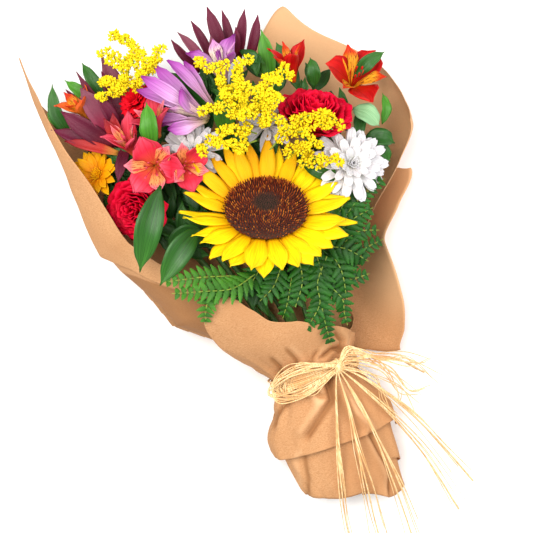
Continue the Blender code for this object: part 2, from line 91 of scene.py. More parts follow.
for name, place, size, power, colour in (
    ("key_light", (-0.42, 0.45, 1.55), 0.9, 28.0, (1.0, 0.97, 0.93)),
    ("fill_light", (0.85, -0.05, 1.35), 1.2, 17.0, (1.0, 1.0, 1.0)),
):
    lamp = bpy.data.lights.new(name, "AREA")
    lamp.size = size
    lamp.energy = power
    lamp.color = colour
    light = bpy.data.objects.new(name, lamp)
    light.location = at(*place)
    light.rotation_euler = (at(0.0, 0.12, 0.05) - light.location).to_track_quat("-Z", "Y").to_euler()
    bpy.context.scene.collection.objects.link(light)


class Field:
    """A value that varies over a surface. Arithmetic on it adds Math nodes."""

    def __init__(self, tree, socket):
        self.tree = tree
        self.socket = socket

    def node(self, kind, settings=None, inputs=None, output=0):
        """Adds a node: its settings first, then the values or fields of its sockets."""
        made = self.tree.nodes.new(kind)
        for key, value in (settings or {}).items():
            if key == "stops":
                ramp = made.color_ramp.elements
                while len(ramp) < len(value):
                    ramp.new(1.0)
                for stop, (place, colour) in zip(ramp, value):
                    stop.position = place
                    stop.color = (*colour, 1.0)
            else:
                setattr(made, key, value)
        for key, value in (inputs or {}).items():
            if isinstance(value, Field):
                self.tree.links.new(value.socket, made.inputs[key])
            else:
                made.inputs[key].default_value = value
        return Field(self.tree, made.outputs[output])

    def maths(self, operation, first, second):
        return self.node("ShaderNodeMath", {"operation": operation}, {0: first, 1: second})

    def __add__(self, other):
        return self.maths("ADD", self, other)

    def __sub__(self, other):
        return self.maths("SUBTRACT", self, other)

    def __rsub__(self, other):
        return self.maths("SUBTRACT", other, self)

    def __mul__(self, other):
        return self.maths("MULTIPLY", self, other)

    __rmul__ = __mul__

    def attribute(self, name):
        return self.node("ShaderNodeAttribute", {"attribute_name": name}, output=2)

    def upward(self):
        """How far up a petal these UV coordinates lie, from 0 to 1."""
        return self.node("ShaderNodeSeparateXYZ", None, {0: self}, 1)

    def stretched(self, x, y, z):
        """These coordinates with each axis scaled."""
        scale = {"operation": "MULTIPLY"}
        return self.node("ShaderNodeVectorMath", scale, {0: self, 1: (x, y, z)})

    def grain(self, scale, detail=2.0):
        """Noise at these coordinates, from 0 to 1."""
        return self.node("ShaderNodeTexNoise", None, {"Vector": self, "Scale": scale, "Detail": detail})

    def step(self, low, high, smallest=0.0, largest=1.0):
        """A smooth step as the field goes from low to high."""
        inputs = {"Value": self, "From Min": low, "From Max": high, "To Min": smallest, "To Max": largest}
        return self.node("ShaderNodeMapRange", {"interpolation_type": "SMOOTHSTEP"}, inputs)

    def ramp(self, *stops):
        return self.node("ShaderNodeValToRGB", {"stops": stops}, {"Fac": self})

    def mixed(self, other, share, blend="MIX"):
        """This colour with a share of another."""
        settings = {"data_type": "RGBA", "blend_type": blend}
        colour = (*other, 1.0) if isinstance(other, tuple) else other
        return self.node("ShaderNodeMix", settings, {0: share, 6: self, 7: colour}, 2)

    def bumps(self, strength, distance):
        return self.node("ShaderNodeBump", None,
                         {"Height": self, "Strength": strength, "Distance": distance})


def new_finish(name, coordinates, **shader):
    """A new material, the shader that it ends in, and its coordinates as a field."""
    made = bpy.data.materials.new(name)
    made.use_nodes = True
    principled = made.node_tree.nodes["Principled BSDF"]
    for key, value in shader.items():
        principled.inputs[key.replace("_", " ")].default_value = value
    texture = made.node_tree.nodes.new("ShaderNodeTexCoord")
    return made, principled, Field(made.node_tree, texture.outputs[coordinates])


def feed(principled, **fields):
    for key, field in fields.items():
        field.tree.links.new(field.socket, principled.inputs[key.replace("_", " ")])


def add_object(name, data, finish):
    made = bpy.data.objects.new(name, data)
    bpy.context.scene.collection.objects.link(made)
    data.materials.append(finish)
    return made


table_finish, shader, place = new_finish("white_table", "Object", Roughness=0.7)
feed(shader, Base_Color=place.grain(40).ramp((0.0, (0.93, 0.93, 0.93)), (1.0, (0.97, 0.97, 0.97))))
bm = bmesh.new()
bmesh.ops.create_grid(bm, x_segments=2, y_segments=2, size=4.0)
bmesh.ops.translate(bm, vec=(0.0, 0.0, -0.0005), verts=bm.verts)
table_mesh = bpy.data.meshes.new("table")
bm.to_mesh(table_mesh)
bm.free()
table = add_object("table", table_mesh, table_finish)


# ---- Loose ends of raffia: dry split palm leaf, in pale flat strands about 3 mm wide that
# leave the knot, run down over the skirt of the wrap and reach the table at their cut ends.
# Each end has its route in millimetres from the tie.

STRAND = 0.0028  # width of a strand
KNOT = (21.5, 0, 73.5)
RAFFIA_ENDS = (
    ("raffia_tail_1",
     ((16.5, -10.5, 68), (8, -35, 64), (-2, -68, 61.5), (-12, -105, 53), (-20, -145, 29),
      (-24, -185, 3))),
    ("raffia_tail_2",
     ((20, -11, 68), (18.5, -40, 64), (14, -75, 61.5), (10, -115, 53), (6, -155, 26), (4, -195, 3))),
    ("raffia_tail_3",
     ((24, -11, 68), (29, -40, 63), (33, -75, 60), (34.5, -120, 49), (35, -162, 23), (34, -205, 3))),
    ("raffia_tail_4", ((28, -10, 67), (42, -36, 60), (58, -72, 44), (73, -115, 20), (86, -173, 3))),
    ("raffia_tail_5", ((31, -7, 66), (51, -31, 59), (74, -70, 38), (92, -110, 15), (108, -152, 3))),
    ("raffia_short_end", ((32.5, 1.5, 68), (52, -1, 68), (78, -14, 50), (98, -36, 22))),
)

raffia_finish, shader, place = new_finish("raffia", "Object", Roughness=0.62, Specular_IOR_Level=0.25)
fibre = place.stretched(900.0, 55.0, 900.0).grain(1.0, 3.0)
patch = place.grain(55.0)
straw = fibre.ramp(
    (0.25, (0.50, 0.26, 0.09)), (0.45, (0.80, 0.54, 0.25)), (0.75, (0.93, 0.76, 0.47)),
).mixed((0.66, 0.34, 0.12), patch.step(0.48, 0.70, 0.0, 0.7))
feed(shader, Base_Color=straw, Normal=fibre.bumps(0.5, 0.0004))


def smooth_route(points, step):
    """Points about one step apart on a smooth curve through the given ones."""
    points = [Vector(p) for p in points]
    padded = [2 * points[0] - points[1], *points, 2 * points[-1] - points[-2]]
    fine = []
    for a, b, c, d in zip(padded, padded[1:], padded[2:], padded[3:]):
        for k in range(24):
            t = k / 24
            fine.append(
                0.5 * (2 * b + (c - a) * t + (2 * a - 5 * b + 4 * c - d) * t**2
                       + (3 * b - a - 3 * c + d) * t**3)
            )
    fine.append(points[-1])
    lengths = [0.0]
    for a, b in zip(fine, fine[1:]):
        lengths.append(lengths[-1] + (b - a).length)
    count = max(3, round(lengths[-1] / step))
    route = []
    k = 0
    for i in range(count + 1):
        want = lengths[-1] * i / count
        while k < len(fine) - 2 and lengths[k + 1] < want:
            k += 1
        part = (want - lengths[k]) / (lengths[k + 1] - lengths[k])
        route.append(fine[k].lerp(fine[k + 1], part))
    return route


def strands(name, routes, width, thickness, finish, closed=False, turns=0.0, taper=0.0):
    """Flat strands of one width, each twisting a little along its route."""
    curve = bpy.data.curves.new(name, "CURVE")
    curve.dimensions = "3D"
    curve.bevel_depth = thickness / 2
    curve.extrude = (width - thickness) / 2
    curve.bevel_resolution = 1
    curve.use_fill_caps = True
    curve.twist_mode = "MINIMUM"
    for k, route in enumerate(routes):
        spline = curve.splines.new("POLY")
        spline.points.add(len(route) - 1)
        spline.use_cyclic_u = closed
        for i, point in enumerate(route):
            share = i / (len(route) - 1)
            spline.points[i].co = (*point, 1.0)
            spline.points[i].tilt = k * 1.3 + turns * share * math.sin(k * 2.1 + 3.0 * share)
            spline.points[i].radius = 1.0 - taper * share * share
    return add_object(name, curve, finish)


def route_length(route):
    return sum((b - a).length for a, b in zip(route, route[1:]))


for name, points in RAFFIA_ENDS:
    route = smooth_route(spots([KNOT, *points]), 0.006)
    piece = strands(name + "_strand", [route], STRAND, 0.0014, raffia_finish)
    join_bouquet(piece, [name])
    route_length(route)

# Thinner fibres split off beside each loose end, and a few more wave out to the right.
WISPS = (
    ((39, 14, 67), (59, -4, 62), (82, -16, 52), (107, -44, 38)),
    ((36, 8, 68), (65, -8, 60), (88, -20, 48), (112, -30, 40)),
    ((36, 3, 68), (65, -18, 58), (81, -41, 44), (92, -50, 34)),
    ((34, -3, 68), (60, -22, 58), (73, -40, 46), (81, -58, 36)),
    ((32, -5, 68), (52, -24, 59), (54, -42, 50), (59, -59, 42)),
    ((40, 10, 68), (58, -10, 60), (71, -40, 48), (71, -55, 40)),
)
chance = random.Random(4)
fibres = []
for name, points in RAFFIA_ENDS:
    for k in range(3 if name == "raffia_short_end" else 4):
        drift = Vector((chance.uniform(-1, 1), chance.uniform(-1, 1), 0.0)) * 0.013
        reach = chance.uniform(0.82, 1.0)
        bent = spots([KNOT])
        for i, spot in enumerate(spots(points)):
            share = i / (len(points) - 1)
            wobble = Vector((chance.uniform(-1, 1), chance.uniform(-1, 1),
                             chance.uniform(0.0, 1.0))) * 0.0014
            spot += drift * share**1.4 + wobble * min(1.0, 3 * share) + Vector((0, 0, 0.0006))
            bent.append(spot)
        whole = smooth_route(bent, 0.005)
        fibres.append(whole[: max(4, round(len(whole) * reach))])
for points in WISPS:
    for k in range(3):
        bent = spots([KNOT])
        for i, spot in enumerate(spots(points)):
            wobble = Vector((chance.uniform(-1, 1), chance.uniform(-1, 1), chance.uniform(-0.5, 1.0)))
            bent.append(spot + wobble * (0.0022 + 0.0016 * i))
        fibres.append(smooth_route(bent, 0.004))
loose_fibres = strands("raffia_fine_fibres", fibres, 0.0014, 0.0007, raffia_finish, turns=1.2, taper=0.4)
join_bouquet(loose_fibres)


# ---- Kraft paper wrap: stiff brown paper in four overlapping sheets, pleated together in
# the tie. The middle sheet makes the tall back and the broad wing folded over on the left,
# the inner one the lower skirt, the front one the collar, and the outer one lies flat below.

PAPER = 0.0005
LAYER = 0.0024  # from one sheet's outer face to the next sheet's, at the tie
SPREAD = ((-0.05, 1.3), (0.0, 1.0), (0.035, 2.2))
SQUARENESS = 0.78
SINK = 0.004
WIDTH_LEFT = (
    (-0.135, 0.046), (-0.10, 0.055), (-0.05, 0.060), (-0.02, 0.044), (0.0, 0.035), (0.02, 0.046),
    (0.036, 0.060), (0.086, 0.121), (0.132, 0.1386), (0.17, 0.1525), (0.289, 0.161), (0.37, 0.163),
)
WIDTH_RIGHT = (
    (-0.135, 0.050), (-0.10, 0.052), (-0.05, 0.055), (-0.02, 0.042), (0.0, 0.036), (0.02, 0.046),
    (0.05, 0.072), (0.09, 0.090), (0.121, 0.107), (0.158, 0.146), (0.188, 0.168), (0.24, 0.170),
    (0.33, 0.152),
)
HEIGHT = (
    (-0.135, 0.0255), (-0.10, 0.029), (-0.05, 0.0285), (0.0, 0.0285), (0.05, 0.046), (0.10, 0.060),
    (0.17, 0.067), (0.28, 0.066), (0.37, 0.054),
)
LIFT = ((-0.07, 0.0), (-0.02, 0.0034), (0.02, 0.0034), (0.07, 0.0))

kraft_finish, shader, place = new_finish("kraft_paper", "Object", Roughness=0.85, Specular_IOR_Level=0.12)
fleck = place.stretched(1.0, 1.0, 1.0).grain(900.0, 2.0)
pulp = place.stretched(420.0, 1500.0, 420.0).grain(1.0, 3.0)
cloud = place.grain(16.0, 3.0)
crease = place.attribute("crease")
brown = (0.55 * pulp + 0.45 * fleck).ramp(
    (0.30, (0.40, 0.190, 0.078)), (0.50, (0.53, 0.275, 0.125)), (0.72, (0.62, 0.35, 0.175)),
)
brown = brown.mixed((0.48, 0.235, 0.10), cloud.step(0.40, 0.68, 0.0, 0.6))
# Painted light: a paler brown where the paper's per-vertex light and shade value is positive; painted
# shade: a darker brown where it is negative.
brown = brown.mixed((0.78, 0.47, 0.25), crease.step(0.05, 1.0, 0.0, 0.8))
brown = brown.mixed((0.30, 0.135, 0.05), (0.0 - crease).step(0.05, 1.0, 0.0, 0.85))
feed(shader, Base_Color=brown, Normal=(0.7 * pulp + 0.5 * fleck + 2.0 * cloud).bumps(0.30, 0.0006))


def along(stations, at_place):
    """A smooth curve through (place, value) pairs, level outside them."""
    if at_place <= stations[0][0]:
        return stations[0][1]
    if at_place >= stations[-1][0]:
        return stations[-1][1]
    last = len(stations) - 1
    i = max(k for k in range(last) if stations[k][0] <= at_place)

    def rise(k):
        return (stations[k + 1][1] - stations[k][1]) / (stations[k + 1][0] - stations[k][0])

    def slope(k):
        if k in (0, last) or rise(k - 1) * rise(k) <= 0:
            return 0.0
        return 2 * rise(k - 1) * rise(k) / (rise(k - 1) + rise(k))

    (a, low), (b, high) = stations[i], stations[i + 1]
    t = (at_place - a) / (b - a)
    return (
        low * (2 * t**3 - 3 * t**2 + 1)
        + high * (3 * t**2 - 2 * t**3)
        + (b - a) * (slope(i) * (t**3 - 2 * t**2 + t) + slope(i + 1) * (t**3 - t**2))
    )


# Sharp folds in the paper: points along each from the tie outwards, how deep it is and how
# wide. A negative depth is a ridge.
FOLDS = (
    (((0.0108, -0.004), (0.0080, -0.0136), (0.0065, -0.028), (-0.0108, -0.040), (-0.0247, -0.050),
      (-0.031, -0.0555)), 0.0058, 0.0035),
    (((-0.0085, -0.009), (-0.0023, -0.0198), (0.0028, -0.0229)), 0.0032, 0.0022),
    (((0.0203, -0.012), (0.0215, -0.0237), (0.025, -0.0455), (0.0362, -0.0696)), -0.0026, 0.0040),
    (((-0.026, -0.008), (-0.034, -0.015), (-0.0482, -0.0262), (-0.0549, -0.0377)), 0.0040, 0.0028),
    (((0.028, 0.0165), (0.0243, 0.0175), (0.0076, 0.0124)), 0.0040, 0.0024),
    (((0.0004, 0.010), (0.0040, 0.0163), (0.011, 0.0218)), 0.0024, 0.0020),
    (((0.030, 0.012), (0.0335, 0.022), (0.030, 0.034)), 0.0026, 0.0024),
    (((-0.030, 0.008), (-0.028, 0.018), (-0.034, 0.032)), 0.0022, 0.0026),
    (((-0.012, 0.008), (-0.012, 0.020), (-0.018, 0.036)), 0.0016, 0.0024),
    (((0.0302, -0.070), (0.0356, -0.1002), (0.0360, -0.113), (0.0267, -0.1385)), 0.0030, 0.0022),
    (((-0.036, -0.070), (-0.040, -0.090), (-0.0475, -0.111)), 0.0016, 0.0030),
)
# The wing's outer part turns down along this line, from its corner to the front collar.
WING_FOLD = ((-0.1560, 0.1640), (-0.1300, 0.1480), (-0.0880, 0.1170), (-0.0700, 0.1020))


def from_line(points, x, y):
    """How far x, y is to the left of a line through the points, and how far along it lies."""
    best, side, share = 1.0, 1.0, 0.0
    for k, ((ax, ay), (bx, by)) in enumerate(zip(points, points[1:])):
        dx, dy = bx - ax, by - ay
        part = ((x - ax) * dx + (y - ay) * dy) / (dx * dx + dy * dy)
        part = min(1.0, max(0.0, part))
        gap = math.hypot(x - ax - part * dx, y - ay - part * dy)
        if gap < best:
            best = gap
            side = math.copysign(1.0, dx * (y - ay) - dy * (x - ax))
            share = (k + part) / (len(points) - 1)
    return best * side, share


def straight(stations, at_place):
    """The width along straight runs between stations, with a corner at each."""
    for (a, low), (b, high) in zip(stations, stations[1:]):
        if a <= at_place <= b:
            return low + (high - low) * (at_place - a) / (b - a)
    return stations[0][1] if at_place < stations[0][0] else stations[-1][1]


def pleat(x, y, degrees, wing):
    """How far the gathered paper stands out at a place, and the painted light and shade there:
    deep pleats that run out of the tie, sharp folds on top, and the slack dents of stiff paper."""
    angle = math.radians(degrees)
    near = math.exp(-((y / 0.030) ** 2)) if y > 0 else math.exp(-((y / 0.040) ** 2))
    held = 1.0 - 0.80 * math.exp(-((y / 0.008) ** 2))
    bend = angle + 2.2 * y
    ridge = 1 - 2 * abs(math.sin(3.5 * bend + 1.5)) ** 0.7
    fine = math.sin(13 * angle + 9 * y + 2.0 * math.sin(3 * angle))
    out = near * held * (0.0016 * ridge + 0.0012 * fine)
    raised_side = min(1.0, max(0.0, (x - 0.03) / 0.05)) * min(1.0, max(0.0, (y - 0.03) / 0.05))
    shade = 0.35 * near * ridge + 0.7 * raised_side  # painted shade in the pleats' valleys, painted light on their ridges and on the raised right side
    spot = Vector((2.1 * math.sin(angle), 2.1 * math.cos(angle), 13.0 * y))
    out += min(1.0, abs(y) / 0.06) * (0.0024 * noise.noise(spot) + 0.0012 * noise.noise(spot * 2.7))
    if abs(degrees) > 75:
        for points, depth, width in FOLDS:
            if not (min(p[1] for p in points) - 0.02 < y < max(p[1] for p in points) + 0.02):
                continue
            gap, share = from_line(points, x, y)
            ends = min(1.0, 5.0 * (1.0 - share) + 0.12)
            valley = math.exp(-((gap / width) ** 2)) * ends
            bulge = math.exp(-(((abs(gap) - 2.2 * width) / (1.6 * width)) ** 2)) * ends
            out += depth * ((0.30 if gap < 0 else 0.12) * bulge - valley)
            # Painted shade along the fold's valley, painted light on the bulge beside it.
            shade += (0.45 * bulge * (gap < 0) - 0.95 * valley) * math.copysign(1.0, depth)
        if wing and y > 0.02 and x < -0.03:
            gap = from_line(WING_FOLD, x, y)[0]
            # Painted shade on the paper below the wing's fold line, painted light on the wing above it.
            below = min(1.0, max(0.0, -gap / 0.0016))
            out -= 0.30 * min(0.022, max(0.0, -gap))
            shade += 0.25 - 1.0 * below
    return out, shade


def wrap_point(y, degrees, inset, pleated=True, wing=True):
    """A point on the wrap and its shade, degrees round from straight down, the right side
    positive."""
    angle = math.radians(degrees)
    side = WIDTH_RIGHT if degrees > 0 else WIDTH_LEFT
    half_height = along(HEIGHT, y)
    inset *= along(SPREAD, y)
    sine, cosine = math.sin(angle), math.cos(angle)
    width = straight(side, y) if degrees < 0 and y > 0.036 else along(side, y)
    x = math.copysign(abs(sine) ** SQUARENESS, sine) * (width - inset)
    z = half_height - SINK - math.copysign(abs(cosine) ** SQUARENESS, cosine) * (half_height - inset)
    out, shade = pleat(x, y, degrees, wing) if pleated else (0.0, 0.0)
    out *= min(1.0, max(0.0, z - 0.004) / 0.02)
    x += math.copysign(abs(sine) ** SQUARENESS, sine) * out
    z -= math.copysign(abs(cosine) ** SQUARENESS, cosine) * out
    return at(x, y, max(z, inset) + along(LIFT, y)), shade


def sheet_piece(name, node, bm):
    """A sheet of paper from its bmesh, with the paper's thickness."""
    bmesh.ops.recalc_face_normals(bm, faces=bm.faces)
    mesh = bpy.data.meshes.new(name)
    bm.to_mesh(mesh)
    bm.free()
    mesh.shade_smooth()
    piece = add_object(name, mesh, kraft_finish)
    wall = piece.modifiers.new("wall", "SOLIDIFY")
    wall.thickness = PAPER
    wall.offset = 0.0
    join_bouquet(piece, [node])


def wrap_sheet(name, node, inset, left, right, low, rim, columns, rows, top=False):
    """One sheet of the wrap. left and right give its angles from the middle at each
    station; low and rim give its ends along the bouquet for u from -1 to 1."""
    bm = bmesh.new()
    bmesh.ops.create_grid(bm, x_segments=columns, y_segments=rows, size=1.0)
    shade = bm.verts.layers.float.new("crease")
    for vert in bm.verts:
        u = vert.co.x
        v = (vert.co.y + 1) / 2
        start = along(low, u)
        y = start + (along(rim, u) - start) * v
        turn = u * along(left if u < 0 else right, y)
        if top:
            turn = -180 - turn if u < 0 else 180 - turn
        lap = 0.0014 * min(1.0, max(0.0, (-turn - 158) / 18)) if not top else 0.0
        vert.co, vert[shade] = wrap_point(y, turn, inset - lap, wing=not top)
    sheet_piece(name, node, bm)


wrap_sheet(
    "kraft_back_sheet", "middle_paper_sheet", LAYER,
    left=((-0.135, 150), (-0.05, 165), (0.0, 172), (0.033, 172), (0.06, 165), (0.0975, 158),
          (0.138, 143), (0.175, 133), (0.235, 124), (0.287, 113), (0.342, 105), (0.37, 100)),
    right=((-0.135, 120), (-0.05, 150), (0.0, 165), (0.02, 120), (0.05, 48), (0.09, 48),
           (0.121, 82), (0.158, 94), (0.188, 100), (0.25, 84), (0.33, 62)),
    low=((-1, 0.07), (-0.93, 0.113), (-0.87, 0.148), (-0.67, 0.170), (-0.45, 0.15), (-0.34, 0.05),
         (-0.24, 0.014), (-0.16, 0.010), (-0.09, -0.09), (0, -0.100), (0.5, -0.108), (1, -0.100)),
    rim=((-1, 0.367), (-0.75, 0.327), (-0.4, 0.290), (0, 0.284), (0.3, 0.318), (0.53, 0.338),
         (0.66, 0.304), (0.78, 0.268), (1, 0.19)),
    columns=190, rows=110,
)
wrap_sheet(
    "kraft_inner_sheet", "inner_paper_sheet", 2 * LAYER,
    left=((-0.135, 187), (-0.04, 187), (0.0, 174), (0.036, 168), (0.08, 150), (0.13, 138), (0.17, 118),
          (0.2, 100)),
    right=((-0.135, 178), (-0.05, 178), (0.0, 150), (0.02, 80), (0.05, 38), (0.2, 50)),
    low=((-1, -0.120), (-0.5, -0.106), (0, -0.122), (0.5, -0.128), (0.8, -0.134), (1, -0.122)),
    rim=((-1, 0.16), (-0.6, 0.20), (0, 0.23), (1, 0.2)),
    columns=170, rows=120,
)
wrap_sheet(
    "kraft_front_collar", "front_paper_wrap", -0.0024,
    left=((-0.075, 100), (-0.03, 110), (0.0, 112), (0.033, 72), (0.055, 50), (0.079, 36), (0.1, 24)),
    right=((-0.075, 100), (-0.03, 110), (0.0, 112), (0.02, 75), (0.036, 48), (0.055, 40)),
    low=((-1, -0.050), (-0.8, -0.060), (-0.5, -0.066), (0.2, -0.069), (0.7, -0.066), (1, -0.074)),
    rim=((-1, 0.085), (-0.8, 0.097), (-0.5, 0.090), (-0.3, 0.076), (-0.18, 0.062), (0, 0.054),
         (0.17, 0.046), (0.62, 0.034), (1, 0.022)),
    columns=170, rows=120, top=True,
)

# The outer sheet runs flat under the tie and out to a raised loose corner on the right.
RIGHT_EDGE = (
    (-0.12, 0.090), (-0.007, 0.084), (0.01, 0.094), (0.039, 0.102), (0.072, 0.104), (0.092, 0.1035),
    (0.12, 0.127), (0.149, 0.152), (0.2, 0.14),
)
LEFT_EDGE = ((-0.12, -0.036), (0.0, -0.026), (0.1, -0.07), (0.2, -0.09))
FLAT_TO = ((-0.12, 0.030), (0.0, 0.030), (0.05, 0.048), (0.1, 0.070), (0.2, 0.11))
RISE = ((-0.01, 0.026), (0.04, 0.040), (0.09, 0.046), (0.12, 0.042), (0.15, 0.028), (0.2, 0.01))
OUTER_LOW = ((0, -0.112), (0.32, -0.116), (0.38, -0.05), (0.45, 0.014), (0.7, 0.002), (1, -0.008))
OUTER_RIM = ((0, 0.16), (0.6, 0.19), (0.9, 0.165), (1, 0.150))

bm = bmesh.new()
shade = bm.verts.layers.float.new("crease")
bmesh.ops.create_grid(bm, x_segments=70, y_segments=70, size=0.5)
for vert in bm.verts:
    u = vert.co.x + 0.5
    start = along(OUTER_LOW, u)
    y = start + (along(OUTER_RIM, u) - start) * (vert.co.y + 0.5)
    edge = along(RIGHT_EDGE, y)
    x = along(LEFT_EDGE, y) * (1 - u) + edge * u
    start = along(FLAT_TO, y)
    outward = max(0.0, (x - start) / (edge - start))
    dent = 0.002 * noise.noise(Vector((22 * x, 22 * y, 0.0))) * outward
    vert.co = at(x, y, along(RISE, y) * outward**2 + along(LIFT, y) + dent + PAPER / 2)
    # Painted light: the raised loose corner is painted a paler brown, more so away from the tie.
    vert[shade] = outward * min(1.0, max(0.0, y / 0.06))
sheet_piece("kraft_outer_sheet", "outer_paper_sheet", bm)


# ---- Raffia tie: a dozen turns of raffia drawn tight round the neck, a knot on top and a
# bow of loose loops that falls to the left.

chance = random.Random(9)
turns = []
for k in range(11):
    turn = []
    for i in range(48):
        degrees = -180 + 360 * i / 48
        wander = 0.0006 * math.sin(math.radians(degrees) * 2 + k)
        y = -0.0062 + 0.0124 * k / 10 + wander
        spot = wrap_point(y, degrees, -0.0052 - 0.0006 * (k % 3), pleated=False)[0]
        spot.z = max(spot.z, 0.0012)
        turn.append(spot)
    turns.append(turn)
band = strands("raffia_band_turns", turns, 0.0022, 0.0011, raffia_finish, closed=True)
join_bouquet(band, ["raffia_band"])

loops = []
for k in range(17):
    size = chance.uniform(0.50, 1.0)
    thick = chance.uniform(0.55, 1.25)
    up = chance.uniform(-0.001, 0.003)
    points = (
        (0.020, 0.003, 0.0700), (0.003, 0.010 * thick, 0.0720), (-0.018 * size, 0.0145 * thick, 0.0710),
        (-0.036 * size, 0.010 * thick, 0.0640), (-0.046 * size, -0.001, 0.0570),
        (-0.040 * size, -0.0105 * thick, 0.0570), (-0.018 * size, -0.0130 * thick, 0.0670),
        (0.004, -0.008 * thick, 0.0700), (0.020, -0.002, 0.0700),
    )
    jittered = [
        at(x + chance.uniform(-1, 1) * 0.0024, y + chance.uniform(-1, 1) * 0.0024, z + up)
        for x, y, z in points
    ]
    loops.append(smooth_route(jittered, 0.003))
bow = strands("raffia_bow_loops", loops, 0.0014, 0.0008, raffia_finish, turns=1.5)
join_bouquet(bow, ["raffia_bow"])

knot_centre = at(0.022, 0.001, 0.0690)
winds = []
for k in range(9):
    lean = Matrix.Rotation(math.radians(20 * k - 70), 3, "Z") @ Matrix.Rotation(math.radians(8 * k), 3,
                                                                                "Y")
    reach = 0.0058 + 0.0003 * (k % 4)
    ring = []
    for i in range(20):
        turn = 2 * math.pi * i / 20
        spot = Vector((0.0008 * (k - 4) / 2, reach * math.cos(turn), 0.0045 * math.sin(turn)))
        ring.append(knot_centre + lean @ spot)
    winds.append(ring)
knot = strands("raffia_knot_turns", winds, 0.0024, 0.0012, raffia_finish, closed=True)
join_bouquet(knot, ["raffia_knot"])


# ---- Stems: fresh green stalks, gathered in the tie and cut off level under the skirt.
# The solid ones keep their shape and get a streaked, slightly waxy skin.

stem_finish, shader, place = new_finish("green_stem", "Object", Roughness=0.45)
streak = place.stretched(500.0, 30.0, 500.0).grain(1.0, 3.0)
skin = streak.ramp((0.3, (0.045, 0.13, 0.025)), (0.6, (0.10, 0.25, 0.05)), (0.8, (0.20, 0.36, 0.10)))
feed(shader, Base_Color=skin, Normal=streak.bumps(0.4, 0.0004))
for name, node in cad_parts.items():
    if name.endswith("_stem"):
        node.data.materials.clear()
        node.data.materials.append(stem_finish)


# ---- Sunflower: one large head, its disc of a thousand seeds and florets on the solid disc,
# with two rows of long grooved petals and a ring of green bracts behind them. The blade
# function makes most petals and bracts of the bouquet.

def blade(bm, where, length, width, outline, rows=9, columns=4, cup=0.0, fold=0.0, bend=0.0,
          ruffle=0.0, notch=0.0, twist=0.0, tone=0.5):
    """Adds one petal: a grid narrowed by its outline, cupped or folded across, bent along
    its length, and set in place by the matrix where."""
    made = bmesh.ops.create_grid(bm, x_segments=columns, y_segments=rows, size=1.0, calc_uvs=True)
    layer = bm.verts.layers.float["tone"]
    phase = 37.0 * tone
    for vert in made["verts"]:
        u = vert.co.x
        v = (vert.co.y + 1) / 2
        half = width / 2 * along(outline, v)
        if abs(bend) > 0.001:
            y = length * math.sin(bend * v) / bend
            z = length * (1 - math.cos(bend * v)) / bend
        else:
            y = length * v
            z = 0.0
        x = half * u
        z += half * (cup * u * u + fold * abs(u))
        z += ruffle * math.sin(phase + 8.0 * v + 2.5 * u) * abs(u) * v
        y += 0.6 * ruffle * math.cos(phase + 7.0 * u) * v * v
        y -= notch * length * max(0.0, 1 - 2.4 * abs(u)) * v**5
        turned = Matrix.Rotation(twist * v, 3, "Y") @ Vector((x, 0.0, z))
        vert.co = where @ Vector((turned.x, y, turned.z))
        vert[layer] = tone
    return made["verts"]


def facing(centre, axis, turn=0.0):
    """A matrix that stands on centre with its Z along the axis, turned about it."""
    quat = Vector(axis).to_track_quat("Z", "Y")
    return Matrix.Translation(centre) @ quat.to_matrix().to_4x4() @ Matrix.Rotation(turn, 4, "Z")


def row_of_petals(bm, where, count, radius, chance, tilt, start=0.0, spread=0.15, rise=0.0, **petal):
    """A ring of petals from radius outwards, each a little different."""
    length, width = petal.pop("length"), petal.pop("width")
    bend = petal.pop("bend", 0.0)
    for k in range(count):
        turn = start + 2 * math.pi * (k + chance.uniform(-spread, spread)) / count
        lean = tilt + chance.uniform(-0.10, 0.10)
        spot = (
            where @ Matrix.Rotation(turn, 4, "Z") @ Matrix.Translation((0.0, radius, rise))
            @ Matrix.Rotation(lean, 4, "X")
        )
        blade(
            bm, spot, length * chance.uniform(0.92, 1.05), width * chance.uniform(0.9, 1.1),
            bend=bend + chance.uniform(-0.15, 0.15), twist=chance.uniform(-0.15, 0.15),
            tone=chance.random(), **petal,
        )


def petal_mesh():
    """A bmesh ready for blades, with their UV map and each one's own tone."""
    bm = bmesh.new()
    bm.loops.layers.uv.new("UVMap")
    bm.verts.layers.float.new("tone")
    return bm


def petal_piece(name, bm, finish, nodes=(), thickness=0.0005):
    """The blades as one piece of the bouquet, each with its own small thickness."""
    mesh = bpy.data.meshes.new(name)
    bm.to_mesh(mesh)
    bm.free()
    mesh.shade_smooth()
    piece = add_object(name, mesh, finish)
    if thickness:
        wall = piece.modifiers.new("wall", "SOLIDIFY")
        wall.thickness = thickness
        wall.offset = 0.0
    join_bouquet(piece, nodes)


def petal_finish(name, stops, veins=22.0, contrast=0.35, shade=(0.0, 0.0, 0.0), shading=0.3,
                 raised=0.5, **shader_values):
    """Colour from the base to the tip, veins along the petal, and a shade for each one."""
    shader_values.setdefault("Specular_IOR_Level", 0.15)
    made, shader, uv = new_finish(name, "UV", **shader_values)
    upward = uv.upward()
    tone = uv.attribute("tone")
    vein = uv.stretched(veins, 1.6, 1.0).grain(1.0, 3.0)
    colour = (upward + 0.30 * (vein - 0.5)).ramp(*stops)
    colour = colour.mixed(shade, (vein.step(0.35, 0.62, contrast, 0.0)), "MULTIPLY")
    colour = colour.mixed(shade, tone.step(0.55, 1.0, 0.0, shading))
    feed(shader, Base_Color=colour, Normal=vein.bumps(raised, 0.0007))
    return made


SUN_FACE = Vector((0.233, 0.641, 0.731)).normalized()
sun_centre = at(0.009, 0.156, 0.128)
RAY = ((0.0, 0.42), (0.15, 0.66), (0.45, 1.0), (0.70, 0.84), (0.88, 0.40), (1.0, 0.03))
